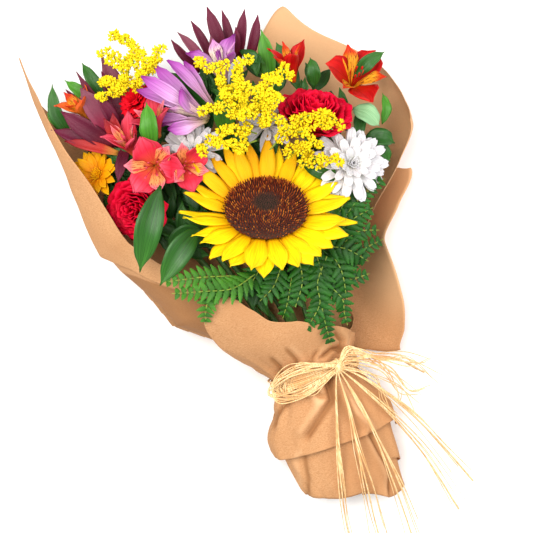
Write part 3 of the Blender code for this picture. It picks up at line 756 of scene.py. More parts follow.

# The shade colour here is painted shade, laid on the upper petals of the head through their tone.
sun_finish = petal_finish(
    "sunflower_petals",
    ((0.0, (0.85, 0.36, 0.001)), (0.18, (0.93, 0.55, 0.001)), (0.5, (0.98, 0.72, 0.002)),
     (1.0, (0.96, 0.70, 0.004))),
    veins=16.0, contrast=0.35, shade=(0.84, 0.36, 0.001), shading=0.9, raised=0.9, Roughness=0.55,
)
chance = random.Random(21)
bm = petal_mesh()
head = facing(sun_centre - SUN_FACE * 0.0072, SUN_FACE)
upward_in_head = head.to_3x3().inverted() @ Vector((-0.1, 1.0, 0.0))
top_turn = math.atan2(upward_in_head.y, upward_in_head.x) - math.pi / 2
RAYS = 34
for k in range(RAYS):
    turn = 2 * math.pi * (k + chance.uniform(-0.22, 0.22)) / RAYS
    high = max(0.0, math.cos(turn - top_turn))
    low = max(0.0, -math.cos(turn - top_turn))
    spot = (
        head @ Matrix.Rotation(turn, 4, "Z") @ Matrix.Translation((0.0, 0.030, 0.0014 * (k % 2)))
        @ Matrix.Rotation(0.06 + 0.42 * high + 0.07 * (k % 2) + chance.uniform(-0.06, 0.08), 4, "X")
    )
    # Painted shade: petals towards the top of the head get a high tone, which mixes in the darker orange;
    # those at the bottom get a low tone and are painted lighter.
    blade(
        bm, spot, (0.0470 + 0.0030 * high) * chance.uniform(0.86, 1.06),
        (0.0168 - 0.0042 * high + 0.0036 * low) * chance.uniform(0.88, 1.10), RAY, rows=14, columns=6,
        cup=-0.20, fold=0.14, bend=chance.uniform(-0.15, 0.25), ruffle=0.0014,
        twist=chance.uniform(-0.35, 0.35),
        tone=0.45 + 0.5 * high - 0.2 * low + chance.uniform(-0.12, 0.12),
    )
petal_piece("sunflower_ray_petals", bm, sun_finish, ["sunflower_petals"])

DOME = ((0.0, 0.0084), (0.008, 0.0085), (0.022, 0.0080), (0.035, 0.0050), (0.0365, 0.0015))
SEEDS = 1050
bm = bmesh.new()
bm.verts.layers.float.new("tone")
ripe = bm.verts.layers.float.new("ripe")
layer = bm.verts.layers.float["tone"]
for k in range(SEEDS):
    share = math.sqrt((k + 0.5) / SEEDS)
    radius = 0.0372 * share
    turn = k * math.radians(137.508)
    tall = 0.0028 if share > 0.34 else 0.0016
    tall *= chance.uniform(0.7, 1.25)
    out = Vector((math.cos(turn), math.sin(turn), 0.0))
    outward = 0.9 * share**3 - 0.35 * (share < 0.34)
    lean = Vector((out.x * outward, out.y * outward, 1.0))
    lean += Vector((chance.uniform(-1, 1), chance.uniform(-1, 1), 0.0)) * 0.22
    spot = Vector((out.x * radius, out.y * radius, along(DOME, radius)))
    where = facing(sun_centre, SUN_FACE) @ facing(spot, lean, turn)
    where = where @ Matrix.Translation((0, 0, tall / 2 - 0.0004))
    made = bmesh.ops.create_cone(
        bm, cap_ends=True, segments=5, radius1=0.00056, radius2=0.00030, depth=tall, matrix=where,
    )
    tint = chance.random()
    for vert in made["verts"]:
        vert[layer] = tint
        vert[ripe] = share
seed_finish, shader, place = new_finish("sunflower_seeds", "Object", Roughness=0.65,
                                        Specular_IOR_Level=0.12)
ripe = place.attribute("ripe")
tone = place.attribute("tone")
rust = tone.ramp((0.0, (0.06, 0.008, 0.003)), (0.5, (0.20, 0.028, 0.006)), (0.8, (0.38, 0.075, 0.010)),
                 (1.0, (0.66, 0.20, 0.02)))
seeds = rust.mixed((0.012, 0.018, 0.008), ripe.step(0.38, 0.22))
feed(shader, Base_Color=seeds)
petal_piece("sunflower_florets", bm, seed_finish, (), 0.0)

disc_finish, shader, place = new_finish("sunflower_disc_bed", "Object", Roughness=0.9)
bed = place.grain(700.0).ramp((0.3, (0.02, 0.006, 0.004)), (0.7, (0.07, 0.018, 0.008)))
feed(shader, Base_Color=bed)
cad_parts["sunflower_disc"].data.materials.clear()
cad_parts["sunflower_disc"].data.materials.append(disc_finish)

BRACT = ((0.0, 0.8), (0.3, 1.0), (0.7, 0.6), (1.0, 0.05))
leaf_finish = petal_finish(
    "green_leaf",
    ((0.0, (0.020, 0.090, 0.008)), (0.5, (0.024, 0.125, 0.012)), (1.0, (0.045, 0.185, 0.018))),
    veins=34.0, contrast=0.5, shade=(0.006, 0.036, 0.005), shading=0.6, raised=0.6,
    Roughness=0.36, Specular_IOR_Level=0.35,
)
bm = petal_mesh()
row_of_petals(
    bm, facing(sun_centre - SUN_FACE * 0.0104, SUN_FACE), 16, 0.016, chance, 0.02,
    length=0.030, width=0.013, outline=BRACT, rows=6, columns=3, cup=-0.1, bend=-0.2,
)
petal_piece("sunflower_bracts", bm, leaf_finish)


# ---- Yellow flower: a smaller orange-yellow daisy tucked in at the left edge, with two
# rows of petals round a tight eye of short petals in the same orange-yellow finish.

YELLOW_AXIS = Vector((-0.35, 0.35, 0.85)).normalized()
yellow_base = at(-0.124, 0.240, 0.072)
yellow_finish = petal_finish(
    "yellow_daisy_petals",
    ((0.0, (0.50, 0.12, 0.002)), (0.3, (0.90, 0.36, 0.002)), (1.0, (0.96, 0.56, 0.004))),
    veins=12.0, contrast=0.35, shade=(0.70, 0.22, 0.004), raised=0.8, Roughness=0.5,
)
bm = petal_mesh()
for turn, tilt, size in ((0.0, 0.16, 1.0), (0.24, 0.42, 0.86)):
    row_of_petals(
        bm, facing(yellow_base, YELLOW_AXIS), 12, 0.004, chance, tilt, start=turn, rise=0.0008 / size,
        length=0.0225 * size, width=0.0092, outline=RAY, rows=8, columns=4, cup=0.2, fold=0.1,
    )
for k in range(5):
    row_of_petals(
        bm, facing(yellow_base, YELLOW_AXIS), 9, 0.0042 - 0.0008 * k, chance, 0.9 + 0.12 * k,
        start=k * 0.3, length=0.0050, width=0.0024, outline=BRACT, rows=3, columns=2, cup=0.2,
    )
petal_piece("yellow_flower_petals", bm, yellow_finish, ["yellow_flower"])


# ---- Roses: two garden roses with many thin crimson petals, tight and ruffled at the heart
# and opening outwards, each wrapped round the ones before it.

def rose(name, node, centre, axis, radius, height, count, seed):
    chance = random.Random(seed)
    bm = petal_mesh()
    layer = bm.verts.layers.float["tone"]
    where = facing(centre, axis)
    for k in range(count):
        share = k / (count - 1)
        turn0 = k * math.radians(137.5) + chance.uniform(-0.25, 0.25)
        ring = radius * (0.06 + 0.80 * share**0.85)
        tall = height * (0.62 + 0.30 * (1 - share) + chance.uniform(-0.05, 0.05))
        span = math.radians(95 - 42 * share)
        opening = radius * (0.05 + 0.34 * share**1.5)
        tint = chance.random()
        made = bmesh.ops.create_grid(bm, x_segments=10, y_segments=8, size=1.0, calc_uvs=True)
        for vert in made["verts"]:
            u = vert.co.x
            v = (vert.co.y + 1) / 2
            turn = turn0 + u * span * (0.55 + 0.45 * math.sin(math.pi * min(1.0, 0.15 + 0.85 * v)))
            belly = ring * (0.30 + 0.70 * math.sin(0.5 * math.pi * min(1.0, 1.5 * v)))
            lip = opening * v**4 + 0.0011 * v * v * math.sin(6.0 * u + 9.0 * tint + 2.0 * k)
            wide = belly + lip + 0.0012 * u * u * (1 - v) * (0.3 + share)
            z = tall * (v - 0.10 * u * u * v) - height * 0.72
            z += 0.0010 * v * v * math.sin(9.0 * u + 5.0 * k) - opening * 0.35 * v**8
            vert.co = where @ Vector((wide * math.cos(turn), wide * math.sin(turn), z))
            vert[layer] = tint
    petal_piece(name, bm, rose_finish, [node], 0.0004)


rose_finish = petal_finish(
    "rose_petals",
    ((0.0, (0.10, 0.001, 0.003)), (0.55, (0.40, 0.001, 0.008)), (0.88, (0.66, 0.001, 0.022)),
     (1.0, (0.76, 0.004, 0.040))),
    veins=20.0, contrast=0.25, shade=(0.34, 0.001, 0.006), shading=0.5, raised=0.35,
    Roughness=0.6, Specular_IOR_Level=0.10,
)
rose("rose_right_petals", "rose_right", at(0.084, 0.229, 0.113), (0.42, 0.66, 0.72), 0.0275, 0.043, 36, 5)
rose("rose_left_petals", "rose_left", at(-0.103, 0.197, 0.103), (-0.42, -0.05, 0.9), 0.0250, 0.038, 38, 6)


# ---- Carnation: a small spray carnation with a green tube of a calyx and a dense crown of
# fringed bright red petals.

carnation_finish = petal_finish(
    "carnation_petals",
    ((0.0, (0.25, 0.001, 0.004)), (0.6, (0.68, 0.002, 0.010)), (1.0, (0.88, 0.006, 0.022))),
    veins=14.0, contrast=0.2, shade=(0.45, 0.001, 0.004), shading=0.4, Roughness=0.6,
    Specular_IOR_Level=0.10,
)
FAN = ((0.0, 0.18), (0.45, 0.35), (0.8, 0.9), (1.0, 1.0))
CARNATION_AXIS = Vector((-0.25, 0.5, 0.75)).normalized()
carnation_base = at(-0.068, 0.291, 0.101) - CARNATION_AXIS * 0.010
bm = petal_mesh()
for k, (count, tilt) in enumerate(((9, 0.35), (9, 0.65), (9, 0.95), (8, 1.2), (7, 1.45))):
    row_of_petals(
        bm, facing(carnation_base, CARNATION_AXIS), count, 0.002, chance, tilt, start=0.3 * k,
        length=0.0150, width=0.0115, outline=FAN, rows=6, columns=9, cup=0.35, bend=-0.5, ruffle=0.0014,
    )
petal_piece("carnation_crown", bm, carnation_finish, ["carnation"], 0.0003)
bm = petal_mesh()
row_of_petals(
    bm, facing(carnation_base - CARNATION_AXIS * 0.013, CARNATION_AXIS), 5, 0.0034, chance, 1.5,
    length=0.015, width=0.0058, outline=((0.0, 0.7), (0.7, 1.0), (1.0, 0.1)), rows=5, columns=3, cup=0.5,
)
petal_piece("carnation_calyx", bm, leaf_finish)


# ---- White chrysanthemums: three spray blooms, each with four rows of broad blunt petals,
# grooved along their length and lightly notched, round a small cream heart.

SPOON = ((0.0, 0.30), (0.3, 0.66), (0.65, 1.0), (0.88, 0.92), (1.0, 0.42))
white_finish = petal_finish(
    "chrysanthemum_petals",
    ((0.0, (0.56, 0.54, 0.26)), (0.22, (0.70, 0.69, 0.60)), (0.6, (0.75, 0.74, 0.74)),
     (1.0, (0.78, 0.78, 0.78))),
    veins=5.0, contrast=0.30, shade=(0.66, 0.58, 0.62), shading=0.35, raised=1.3, Roughness=0.55,
    Subsurface_Weight=0.15, Subsurface_Radius=(0.004, 0.004, 0.003), Subsurface_Scale=0.5,
)
for name, node, base, axis, radius, count, seed in (
    ("chrysanthemum_right_petals", "chrysanthemum_right",
     (93, 169, 99), (0.30, -0.05, 0.95), 0.0320, 15, 3),
    ("chrysanthemum_left_petals", "chrysanthemum_left", (-34, 228, 98), (0.1, 0.2, 0.95), 0.0255, 13, 7),
    ("chrysanthemum_centre_petals", "chrysanthemum_centre",
     (36, 229, 80), (0.0, 0.3, 0.9), 0.0250, 11, 8),
):
    base = spots([base])[0]
    chance = random.Random(seed)
    bm = petal_mesh()
    for k, (tilt, size) in enumerate(((0.10, 1.0), (0.30, 0.94), (0.56, 0.80), (0.90, 0.60))):
        row_of_petals(
            bm, facing(base, axis), count - 2 * k, 0.0028 - 0.0005 * k, chance, tilt, start=0.27 * k,
            spread=0.22, rise=0.0012 * k, length=radius * size, width=radius * 0.28 * (1 - 0.04 * k),
            outline=SPOON, rows=12, columns=6, cup=0.30, bend=-0.18, notch=0.025, ruffle=0.0003,
        )
    for k in range(3):
        row_of_petals(
            bm, facing(base, axis), 6, 0.0012, chance, 1.15 + 0.14 * k, rise=0.003, start=0.4 * k,
            length=radius * 0.34, width=radius * 0.12, outline=SPOON, rows=5, columns=3, cup=0.5,
        )
    petal_piece(name, bm, white_finish, [node])


# ---- Alstroemerias: funnel flowers of three broad outer tepals and three narrower inner
# ones, which are streaked dark on a yellow patch, with a bunch of thin stamens inside.

TEPAL = ((0.0, 0.22), (0.3, 0.45), (0.62, 1.0), (0.85, 0.85), (1.0, 0.12))
INNER_TEPAL = ((0.0, 0.25), (0.5, 0.70), (0.75, 1.0), (1.0, 0.06))


def streaked_finish(name, stops, dark, patch):
    """An inner tepal's finish: short dark dashes along it, on a pale patch."""
    made, shader, uv = new_finish(name, "UV", Roughness=0.5, Specular_IOR_Level=0.15)
    upward = uv.upward()
    dashes = uv.stretched(24.0, 5.0, 1.0).grain(1.0, 1.0)
    vein = uv.stretched(18.0, 1.5, 1.0).grain(1.0, 2.0)
    colour = (upward + 0.2 * (vein - 0.5)).ramp(*stops)
    middle = upward.step(0.25, 0.45) * upward.step(0.85, 0.65)
    colour = colour.mixed(patch, middle * 0.75)
    colour = colour.mixed(dark, dashes.step(0.56, 0.62) * upward.step(0.15, 0.3) * upward.step(0.95, 0.8))
    feed(shader, Base_Color=colour, Normal=vein.bumps(0.5, 0.0006))
    return made


pink_outer = petal_finish(
    "pink_tepals",
    ((0.0, (0.70, 0.30, 0.03)), (0.25, (0.70, 0.09, 0.04)), (0.6, (0.66, 0.025, 0.055)),
     (1.0, (0.76, 0.09, 0.15))),
    veins=16.0, contrast=0.35, shade=(0.48, 0.006, 0.03), shading=0.45, Roughness=0.5,
)
pink_inner = streaked_finish(
    "pink_streaked_tepals",
    ((0.0, (0.68, 0.18, 0.03)), (0.5, (0.72, 0.07, 0.07)), (1.0, (0.80, 0.20, 0.25))),
    (0.10, 0.003, 0.006), (0.82, 0.34, 0.09),
)
red_outer = petal_finish(
    "red_tepals",
    ((0.0, (0.66, 0.14, 0.004)), (0.22, (0.56, 0.018, 0.004)), (0.7, (0.52, 0.004, 0.005)),
     (1.0, (0.62, 0.014, 0.010))),
    veins=14.0, contrast=0.4, shade=(0.36, 0.002, 0.003), shading=0.45, Roughness=0.45,
)
red_inner = streaked_finish(
    "red_streaked_tepals",
    ((0.0, (0.74, 0.34, 0.01)), (0.6, (0.70, 0.10, 0.006)), (1.0, (0.58, 0.015, 0.006))),
    (0.08, 0.002, 0.002), (0.84, 0.40, 0.02),
)
lilac_outer = petal_finish(
    "lilac_tepals",
    ((0.0, (0.44, 0.40, 0.13)), (0.22, (0.64, 0.44, 0.42)), (0.55, (0.68, 0.40, 0.66)),
     (0.85, (0.50, 0.14, 0.50)),
     (1.0, (0.26, 0.02, 0.24))),
    veins=13.0, contrast=0.5, shade=(0.32, 0.05, 0.34), shading=0.35, Roughness=0.5,
)
lilac_inner = streaked_finish(
    "lilac_streaked_tepals",
    ((0.0, (0.55, 0.50, 0.22)), (0.5, (0.78, 0.58, 0.70)), (1.0, (0.58, 0.20, 0.50))),
    (0.12, 0.01, 0.07), (0.84, 0.74, 0.50),
)
orange_outer = petal_finish(
    "orange_tepals",
    ((0.0, (0.72, 0.34, 0.04)), (0.4, (0.84, 0.22, 0.02)), (1.0, (0.80, 0.10, 0.02))),
    veins=14.0, contrast=0.35, shade=(0.45, 0.02, 0.01), shading=0.3, Roughness=0.45,
)


def funnel_flower(name, node, base, axis, radius, depth, outer, inner, tilt, seed, turn=0.0):
    """Six tepals that rise from the base in a funnel and open at the given tilt."""
    flare = -0.50
    chance = random.Random(seed)
    length = math.hypot(radius, depth)
    where = facing(spots([base])[0], axis, turn)
    bm = petal_mesh()
    row_of_petals(
        bm, where, 3, 0.0012, chance, tilt, spread=0.06, length=length * 1.04, width=radius * 1.10,
        outline=TEPAL, rows=14, columns=8, cup=0.45, bend=flare, ruffle=0.0020, notch=0.02,
    )
    petal_piece(name + "_outer_tepals", bm, outer, [node])
    bm = petal_mesh()
    row_of_petals(
        bm, where, 3, 0.0010, chance, tilt + 0.10, start=math.pi / 3, spread=0.06, length=length * 0.98,
        width=radius * 0.55, outline=INNER_TEPAL, rows=12, columns=5, cup=0.5, bend=-0.35, ruffle=0.0006,
    )
    petal_piece(name + "_inner_tepals", bm, inner)
    bm = petal_mesh()
    row_of_petals(
        bm, where, 6, 0.0004, chance, min(1.45, tilt + 0.35), spread=0.2, length=length * 0.72,
        width=0.0011,
        outline=((0.0, 1.0), (0.85, 0.8), (0.88, 2.0), (1.0, 1.2)), rows=9, columns=2, bend=0.25,
    )
    petal_piece(name + "_stamens", bm, outer, (), 0.0006)


for name, node, base, axis, radius, depth, tilt, turn, kind in (
    ("pink_flower_open_left", "pink_floret_open_left",
     (-70, 226, 119), (-0.1, -0.2, 1), 0.025, 0.016, 0.72, 0.5, 0),
    ("pink_flower_open_right", "pink_floret_open_right",
     (-47, 218, 116), (0.3, -0.3, 0.9), 0.020, 0.017, 0.80, 0.2, 0),
    ("pink_flower_left", "pink_trumpet_left",
     (-84, 240, 101), (-0.1, 0.62, 0.6), 0.0145, 0.038, 1.30, 0.4, 0),
    ("pink_flower_right", "pink_trumpet_right",
     (-58, 250, 101), (0.02, 0.6, 0.65), 0.0145, 0.036, 1.26, 0.9, 0),
    ("red_flower_closed", "red_floret_closed",
     (72, 256, 92), (0.1, 0.8, 0.45), 0.014, 0.036, 1.28, 0.2, 1),
    ("red_flower_open", "red_floret_open",
     (121, 236, 74), (0.32, 0.38, 0.85), 0.026, 0.029, 0.88, 0.7, 1),
    ("lilac_flower_left", "lilac_trumpet_left",
     (-12, 250, 99), (-0.66, 0.66, 0.34), 0.016, 0.040, 1.30, 0.5, 2),
    ("lilac_flower_right", "lilac_trumpet_right",
     (14, 278, 89), (0.05, 0.85, 0.5), 0.022, 0.037, 1.10, 0.1, 2),
    ("orange_flower", "orange_floret", (-112, 288, 83), (-0.25, 0.75, 0.5), 0.015, 0.031, 1.22, 0.3, 3),
):
    outer, inner, slot = (
        (pink_outer, pink_inner, "pink_alstroemeria"), (red_outer, red_inner, "red_alstroemeria"),
        (lilac_outer, lilac_inner, "lilac_alstroemeria"), (orange_outer, red_inner, "red_alstroemeria"),
    )[kind]
    funnel_flower(name, node, base, axis, radius, depth, outer, inner, tilt, len(name) + kind, turn)


def tip_blade(bm, base, tip, width, outline, tone, rows=10, columns=4, roll=0.0, lift=0.0, **shape):
    """A blade from its base to its tip, lying face up, its middle lifted in an arch."""
    base, tip = spots([base, tip])
    way = tip - base
    side = way.cross(Vector((0, 0, 1))).normalized()
    up = side.cross(way).normalized()
    turned = Matrix.Rotation(roll, 3, way.normalized())
    side, up = turned @ side, turned @ up
    where = Matrix.Translation(base) @ Matrix((side, way.normalized(), up)).transposed().to_4x4()
    verts = blade(bm, where, way.length, width, outline, rows, columns, tone=tone, **shape)
    for vert in verts:
        v = max(0.0, min(1.0, (vert.co - base).dot(way) / way.length_squared))
        vert.co += up * lift * 4 * v * (1 - v)


# The lilac flower on the left is past its best: its long tepals all lean over to one side.
LONG_TEPALS = (
    ((-11, 249, 108), (-54, 303, 124), 0.013, 0.15),
    ((-12, 248, 106), (-62, 294, 115), 0.014, 0.50),
    ((-13, 248, 112), (-48, 252, 120), 0.013, 0.35),
    ((-10, 251, 104), (-40, 310, 110), 0.012, 0.90),
    ((-4, 255, 108), (-28, 309, 120), 0.012, 0.95),
    ((-14, 248, 102), (-55, 268, 106), 0.012, 0.60),
    ((-2, 258, 104), (-14, 304, 114), 0.011, 0.70),
)
bm = petal_mesh()
for k, (base, tip, width, tone) in enumerate(LONG_TEPALS):
    tip_blade(
        bm, base, tip, width, TEPAL, tone, rows=14, columns=6, roll=0.5 * math.sin(2.0 * k), cup=0.35,
        fold=0.25, lift=0.003, ruffle=0.0008,
    )
petal_piece("lilac_long_tepals", bm, lilac_outer)


# ---- Goldenrod: feathery sprays of tiny bright yellow flowers in small lumps along thin,
# arching green twigs, each of them a route in millimetres from the tie.

gold_finish, shader, place = new_finish("goldenrod_flowers", "Object", Roughness=0.75,
                                        Specular_IOR_Level=0.1)
tone = place.attribute("tone")
gold = tone.ramp((0.0, (0.52, 0.30, 0.004)), (0.3, (0.80, 0.60, 0.006)), (1.0, (0.94, 0.83, 0.02)))
feed(shader, Base_Color=gold.mixed((0.42, 0.27, 0.01), place.grain(1400.0).step(0.55, 0.70, 0.0, 0.75)))

twig_finish, shader, place = new_finish("goldenrod_twigs", "Object", Roughness=0.6)
feed(shader, Base_Color=place.grain(300.0).ramp((0.3, (0.12, 0.24, 0.02)), (0.7, (0.32, 0.42, 0.05))))

SPRAYS = (
    ("goldenrod_left", (
        ((-70, 296, 94), (-63, 314, 110), (-52, 322, 115), (-55, 336, 117), (-67, 350, 114)),
        ((-70, 300, 100), (-80, 306, 110), (-90, 312, 112)),
        ((-61, 302, 103), (-49, 311, 114), (-43, 328, 117)),
        ((-55, 298, 100), (-38, 314, 112), (-26, 325, 115)),
        ((-62, 318, 112), (-72, 330, 117), (-80, 336, 114)),
        ((-66, 296, 100), (-58, 304, 114), (-47, 302, 114)),
        ((-70, 298, 100), (-70, 312, 114), (-62, 324, 118)),
        ((-74, 296, 100), (-82, 300, 112), (-94, 300, 112)),
    )),
    ("goldenrod_centre", (
        ((20, 244, 118), (12, 271, 138), (13, 283, 142), (-3, 296, 138)),
        ((20, 250, 124), (26, 274, 140), (38, 281, 141)),
        ((24, 244, 120), (9, 247, 140), (-11, 254, 142)),
        ((30, 240, 116), (20, 256, 141), (2, 262, 144)),
        ((22, 216, 118), (4, 216, 134), (-12, 226, 136), (-28, 223, 133)),
        ((24, 222, 116), (10, 230, 134), (-6, 236, 135)),
        ((30, 238, 116), (44, 258, 138), (56, 263, 142), (70, 263, 139)),
        ((32, 234, 116), (42, 246, 138), (53, 255, 141)),
        ((30, 226, 116), (38, 228, 136), (48, 222, 139)),
        ((22, 248, 120), (18, 262, 140), (26, 270, 144)),
        ((26, 236, 120), (24, 240, 142), (14, 238, 144)),
        ((32, 240, 120), (36, 252, 142), (30, 262, 144)),
        ((36, 232, 120), (46, 240, 141), (58, 240, 142)),
    )),
    ("goldenrod_right", (
        ((30, 204, 124), (49, 213, 142), (65, 218, 149), (80, 216, 149), (92, 206, 145)),
        ((49, 211, 142), (63, 207, 150), (76, 208, 150), (86, 200, 148)),
        ((40, 192, 124), (56, 196, 140), (70, 194, 144)),
        ((50, 180, 124), (62, 183, 137), (80, 176, 139)),
    )),
)

chance = random.Random(12)
for node, routes in SPRAYS:
    twigs = []
    bm = bmesh.new()
    layer = bm.verts.layers.float.new("tone")
    low = 0.75 if node == "goldenrod_right" else 1.0
    for points in routes:
        route = smooth_route(spots(points), 0.0016)
        twigs.append(route)
        for i in range(round(len(route) * 0.26), len(route), 3):
            share = i / len(route)
            lump = chance.uniform(0.0042, 0.0064) * (1.12 - 0.30 * share)
            drift = Vector((chance.gauss(0, 1), chance.gauss(0, 1), chance.gauss(0, 0.5)))
            centre = route[i] + drift * 0.0022
            for k in range(42):
                out = Vector((chance.gauss(0, 1), chance.gauss(0, 1),
                              chance.gauss(0.25, 0.8))).normalized()
                place = centre + out * lump * chance.uniform(0.55, 1.0)
                size = chance.uniform(0.00070, 0.00115)
                shape = facing(place, out) @ Matrix.Diagonal((size, size, size * 1.6, 1.0))
                made = bmesh.ops.create_icosphere(bm, subdivisions=1, radius=1.0, matrix=shape)
                # Painted shade: florets that face down into their lump get a darker tint.
                tint = low * chance.uniform(0.25, 1.0) * min(1.0, 0.40 + 0.65 * max(0.0, out.z + 0.4))
                for vert in made["verts"]:
                    vert[layer] = tint
    petal_piece(node + "_flowers", bm, gold_finish, [node], 0.0)
    join_bouquet(strands(node + "_twigs", twigs, 0.0016, 0.0014, twig_finish, taper=0.5))


# ---- Leucadendron: two shoots of leathery pointed bracts, dark burgundy outside, with red
# and yellow-based bracts round the heart of the left one.

BLADE_SHAPE = ((0.0, 0.45), (0.3, 0.95), (0.55, 1.0), (0.8, 0.70), (1.0, 0.03))
bract_finish, shader, uv = new_finish("leucadendron_bracts", "UV", Roughness=0.45,
                                      Specular_IOR_Level=0.25)
upward = uv.upward()
tone = uv.attribute("tone")
vein = uv.stretched(26.0, 2.0, 1.0).grain(1.0, 3.0)
speck = uv.stretched(60.0, 90.0, 1.0).grain(1.0, 1.0)
burgundy = (upward + 0.4 * (vein - 0.5)).ramp(
    (0.0, (0.16, 0.010, 0.020)), (0.4, (0.085, 0.003, 0.018)), (1.0, (0.13, 0.007, 0.034)),
)
mauve = (upward + 0.4 * (vein - 0.5)).ramp(
    (0.0, (0.38, 0.012, 0.055)), (0.5, (0.22, 0.045, 0.080)), (1.0, (0.17, 0.045, 0.070)),
)
warm = (upward + 0.3 * (vein - 0.5)).ramp(
    (0.0, (0.70, 0.34, 0.05)), (0.30, (0.52, 0.03, 0.02)), (1.0, (0.20, 0.004, 0.014)),
)
bracts = burgundy.mixed(mauve, tone.step(0.60, 0.66)).mixed(warm, tone.step(0.84, 0.88))
bracts = bracts.mixed((0.40, 0.16, 0.17), speck.step(0.64, 0.74, 0.0, 0.45))
feed(shader, Base_Color=bracts, Normal=vein.bumps(0.5, 0.0008))


# Each bract: its base and tip in millimetres, its width and its tone, from burgundy to warm.
LEFT_BRACTS = (
    ((-98, 270, 88), (-109, 315, 104), 0.017, 0.75),
    ((-84, 268, 86), (-87, 324, 94), 0.013, 0.30),
    ((-90, 262, 94), (-97, 304, 112), 0.011, 0.35),
    ((-100, 258, 86), (-133, 302, 98), 0.016, 0.50),
    ((-99, 252, 84), (-148, 291, 88), 0.013, 0.20),
    ((-98, 250, 88), (-140, 277, 92), 0.009, 0.95),
    ((-88, 256, 84), (-107, 225, 96), 0.010, 0.25),
    ((-89, 256, 100), (-98, 281, 116), 0.010, 0.95),
    ((-90, 256, 100), (-89, 283, 114), 0.010, 0.92),
    ((-92, 262, 74), (-109, 333, 86), 0.008, 0.15),
    ((-78, 268, 72), (-83, 340, 84), 0.016, 0.72),
    ((-92, 258, 72), (-124, 322, 80), 0.012, 0.10),
)
TOP_BRACTS = (
    ((22, 298, 66), (22, 349, 80), 0.015, 0.30),
    ((34, 296, 70), (53, 334, 86), 0.012, 0.20),
    ((40, 290, 70), (63, 326, 82), 0.012, 0.48),
    ((30, 298, 76), (40, 321, 90), 0.009, 0.55),
    ((14, 300, 72), (16, 322, 88), 0.009, 0.75),
    ((4, 296, 64), (-11, 337, 76), 0.012, 0.68),
    ((-4, 298, 62), (-19, 333, 74), 0.010, 0.25),
    ((28, 296, 62), (34, 343, 72), 0.011, 0.12),
    ((10, 298, 60), (4, 344, 70), 0.011, 0.15),
)
chance = random.Random(17)
for node, shoot, broad in (
    ("leucadendron_left", LEFT_BRACTS, 1.05), ("leucadendron_top", TOP_BRACTS, 0.80),
):
    bm = petal_mesh()
    for base, tip, width, tone in shoot:
        tip_blade(
            bm, base, tip, width * broad, BLADE_SHAPE, tone, roll=chance.uniform(-0.4, 0.4), cup=0.22,
            fold=0.22, lift=0.003,
        )
    petal_piece(node + "_bracts", bm, bract_finish, [node], 0.0008)


# ---- Leaves: the broad leaves of the roses, daisies and alstroemerias that show between
# the flowers, folded along the midrib, with fine veins along them.

LEAF_SHAPE = ((0.0, 0.10), (0.18, 0.62), (0.45, 1.0), (0.75, 0.72), (1.0, 0.02))


def route_leaf(bm, points, width, tone, roll=0.0, rows=16, columns=6):
    """A leaf along a route through at least three points, its face up."""
    fold = 0.35
    route = smooth_route(points, 0.002)
    layer = bm.verts.layers.float["tone"]
    made = bmesh.ops.create_grid(bm, x_segments=columns, y_segments=rows, size=1.0, calc_uvs=True)
    for vert in made["verts"]:
        u = vert.co.x
        v = (vert.co.y + 1) / 2
        k = min(len(route) - 2, int(v * (len(route) - 1)))
        part = v * (len(route) - 1) - k
        spot = route[k].lerp(route[k + 1], part)
        way = (route[k + 1] - route[k]).normalized()
        side = way.cross(Vector((0, 0, 1))).normalized()
        turned = Matrix.Rotation(roll, 3, way)
        side, up = turned @ side, turned @ side.cross(way).normalized()
        half = width / 2 * along(LEAF_SHAPE, v)
        wave = 0.0006 * math.sin(17.0 * v + 3.0 * u + 31.0 * tone)
        bend = abs(u) * fold * half + wave * abs(u)
        vert.co = spot + side * half * u * math.cos(fold) + up * bend
        vert[layer] = tone


light_leaf = petal_finish(
    "bright_green_leaf",
    ((0.0, (0.045, 0.18, 0.010)), (0.5, (0.065, 0.26, 0.016)), (1.0, (0.10, 0.34, 0.03))),
    veins=30.0, contrast=0.45, shade=(0.02, 0.10, 0.008), shading=0.5, raised=0.6, Roughness=0.4,
    Specular_IOR_Level=0.3,
)
pale_leaf = petal_finish(
    "leaf_underside",
    ((0.0, (0.22, 0.42, 0.20)), (0.5, (0.28, 0.50, 0.26)), (1.0, (0.34, 0.56, 0.30))),
    veins=26.0, contrast=0.4, shade=(0.12, 0.30, 0.12), shading=0.4, raised=0.6, Roughness=0.5,
)
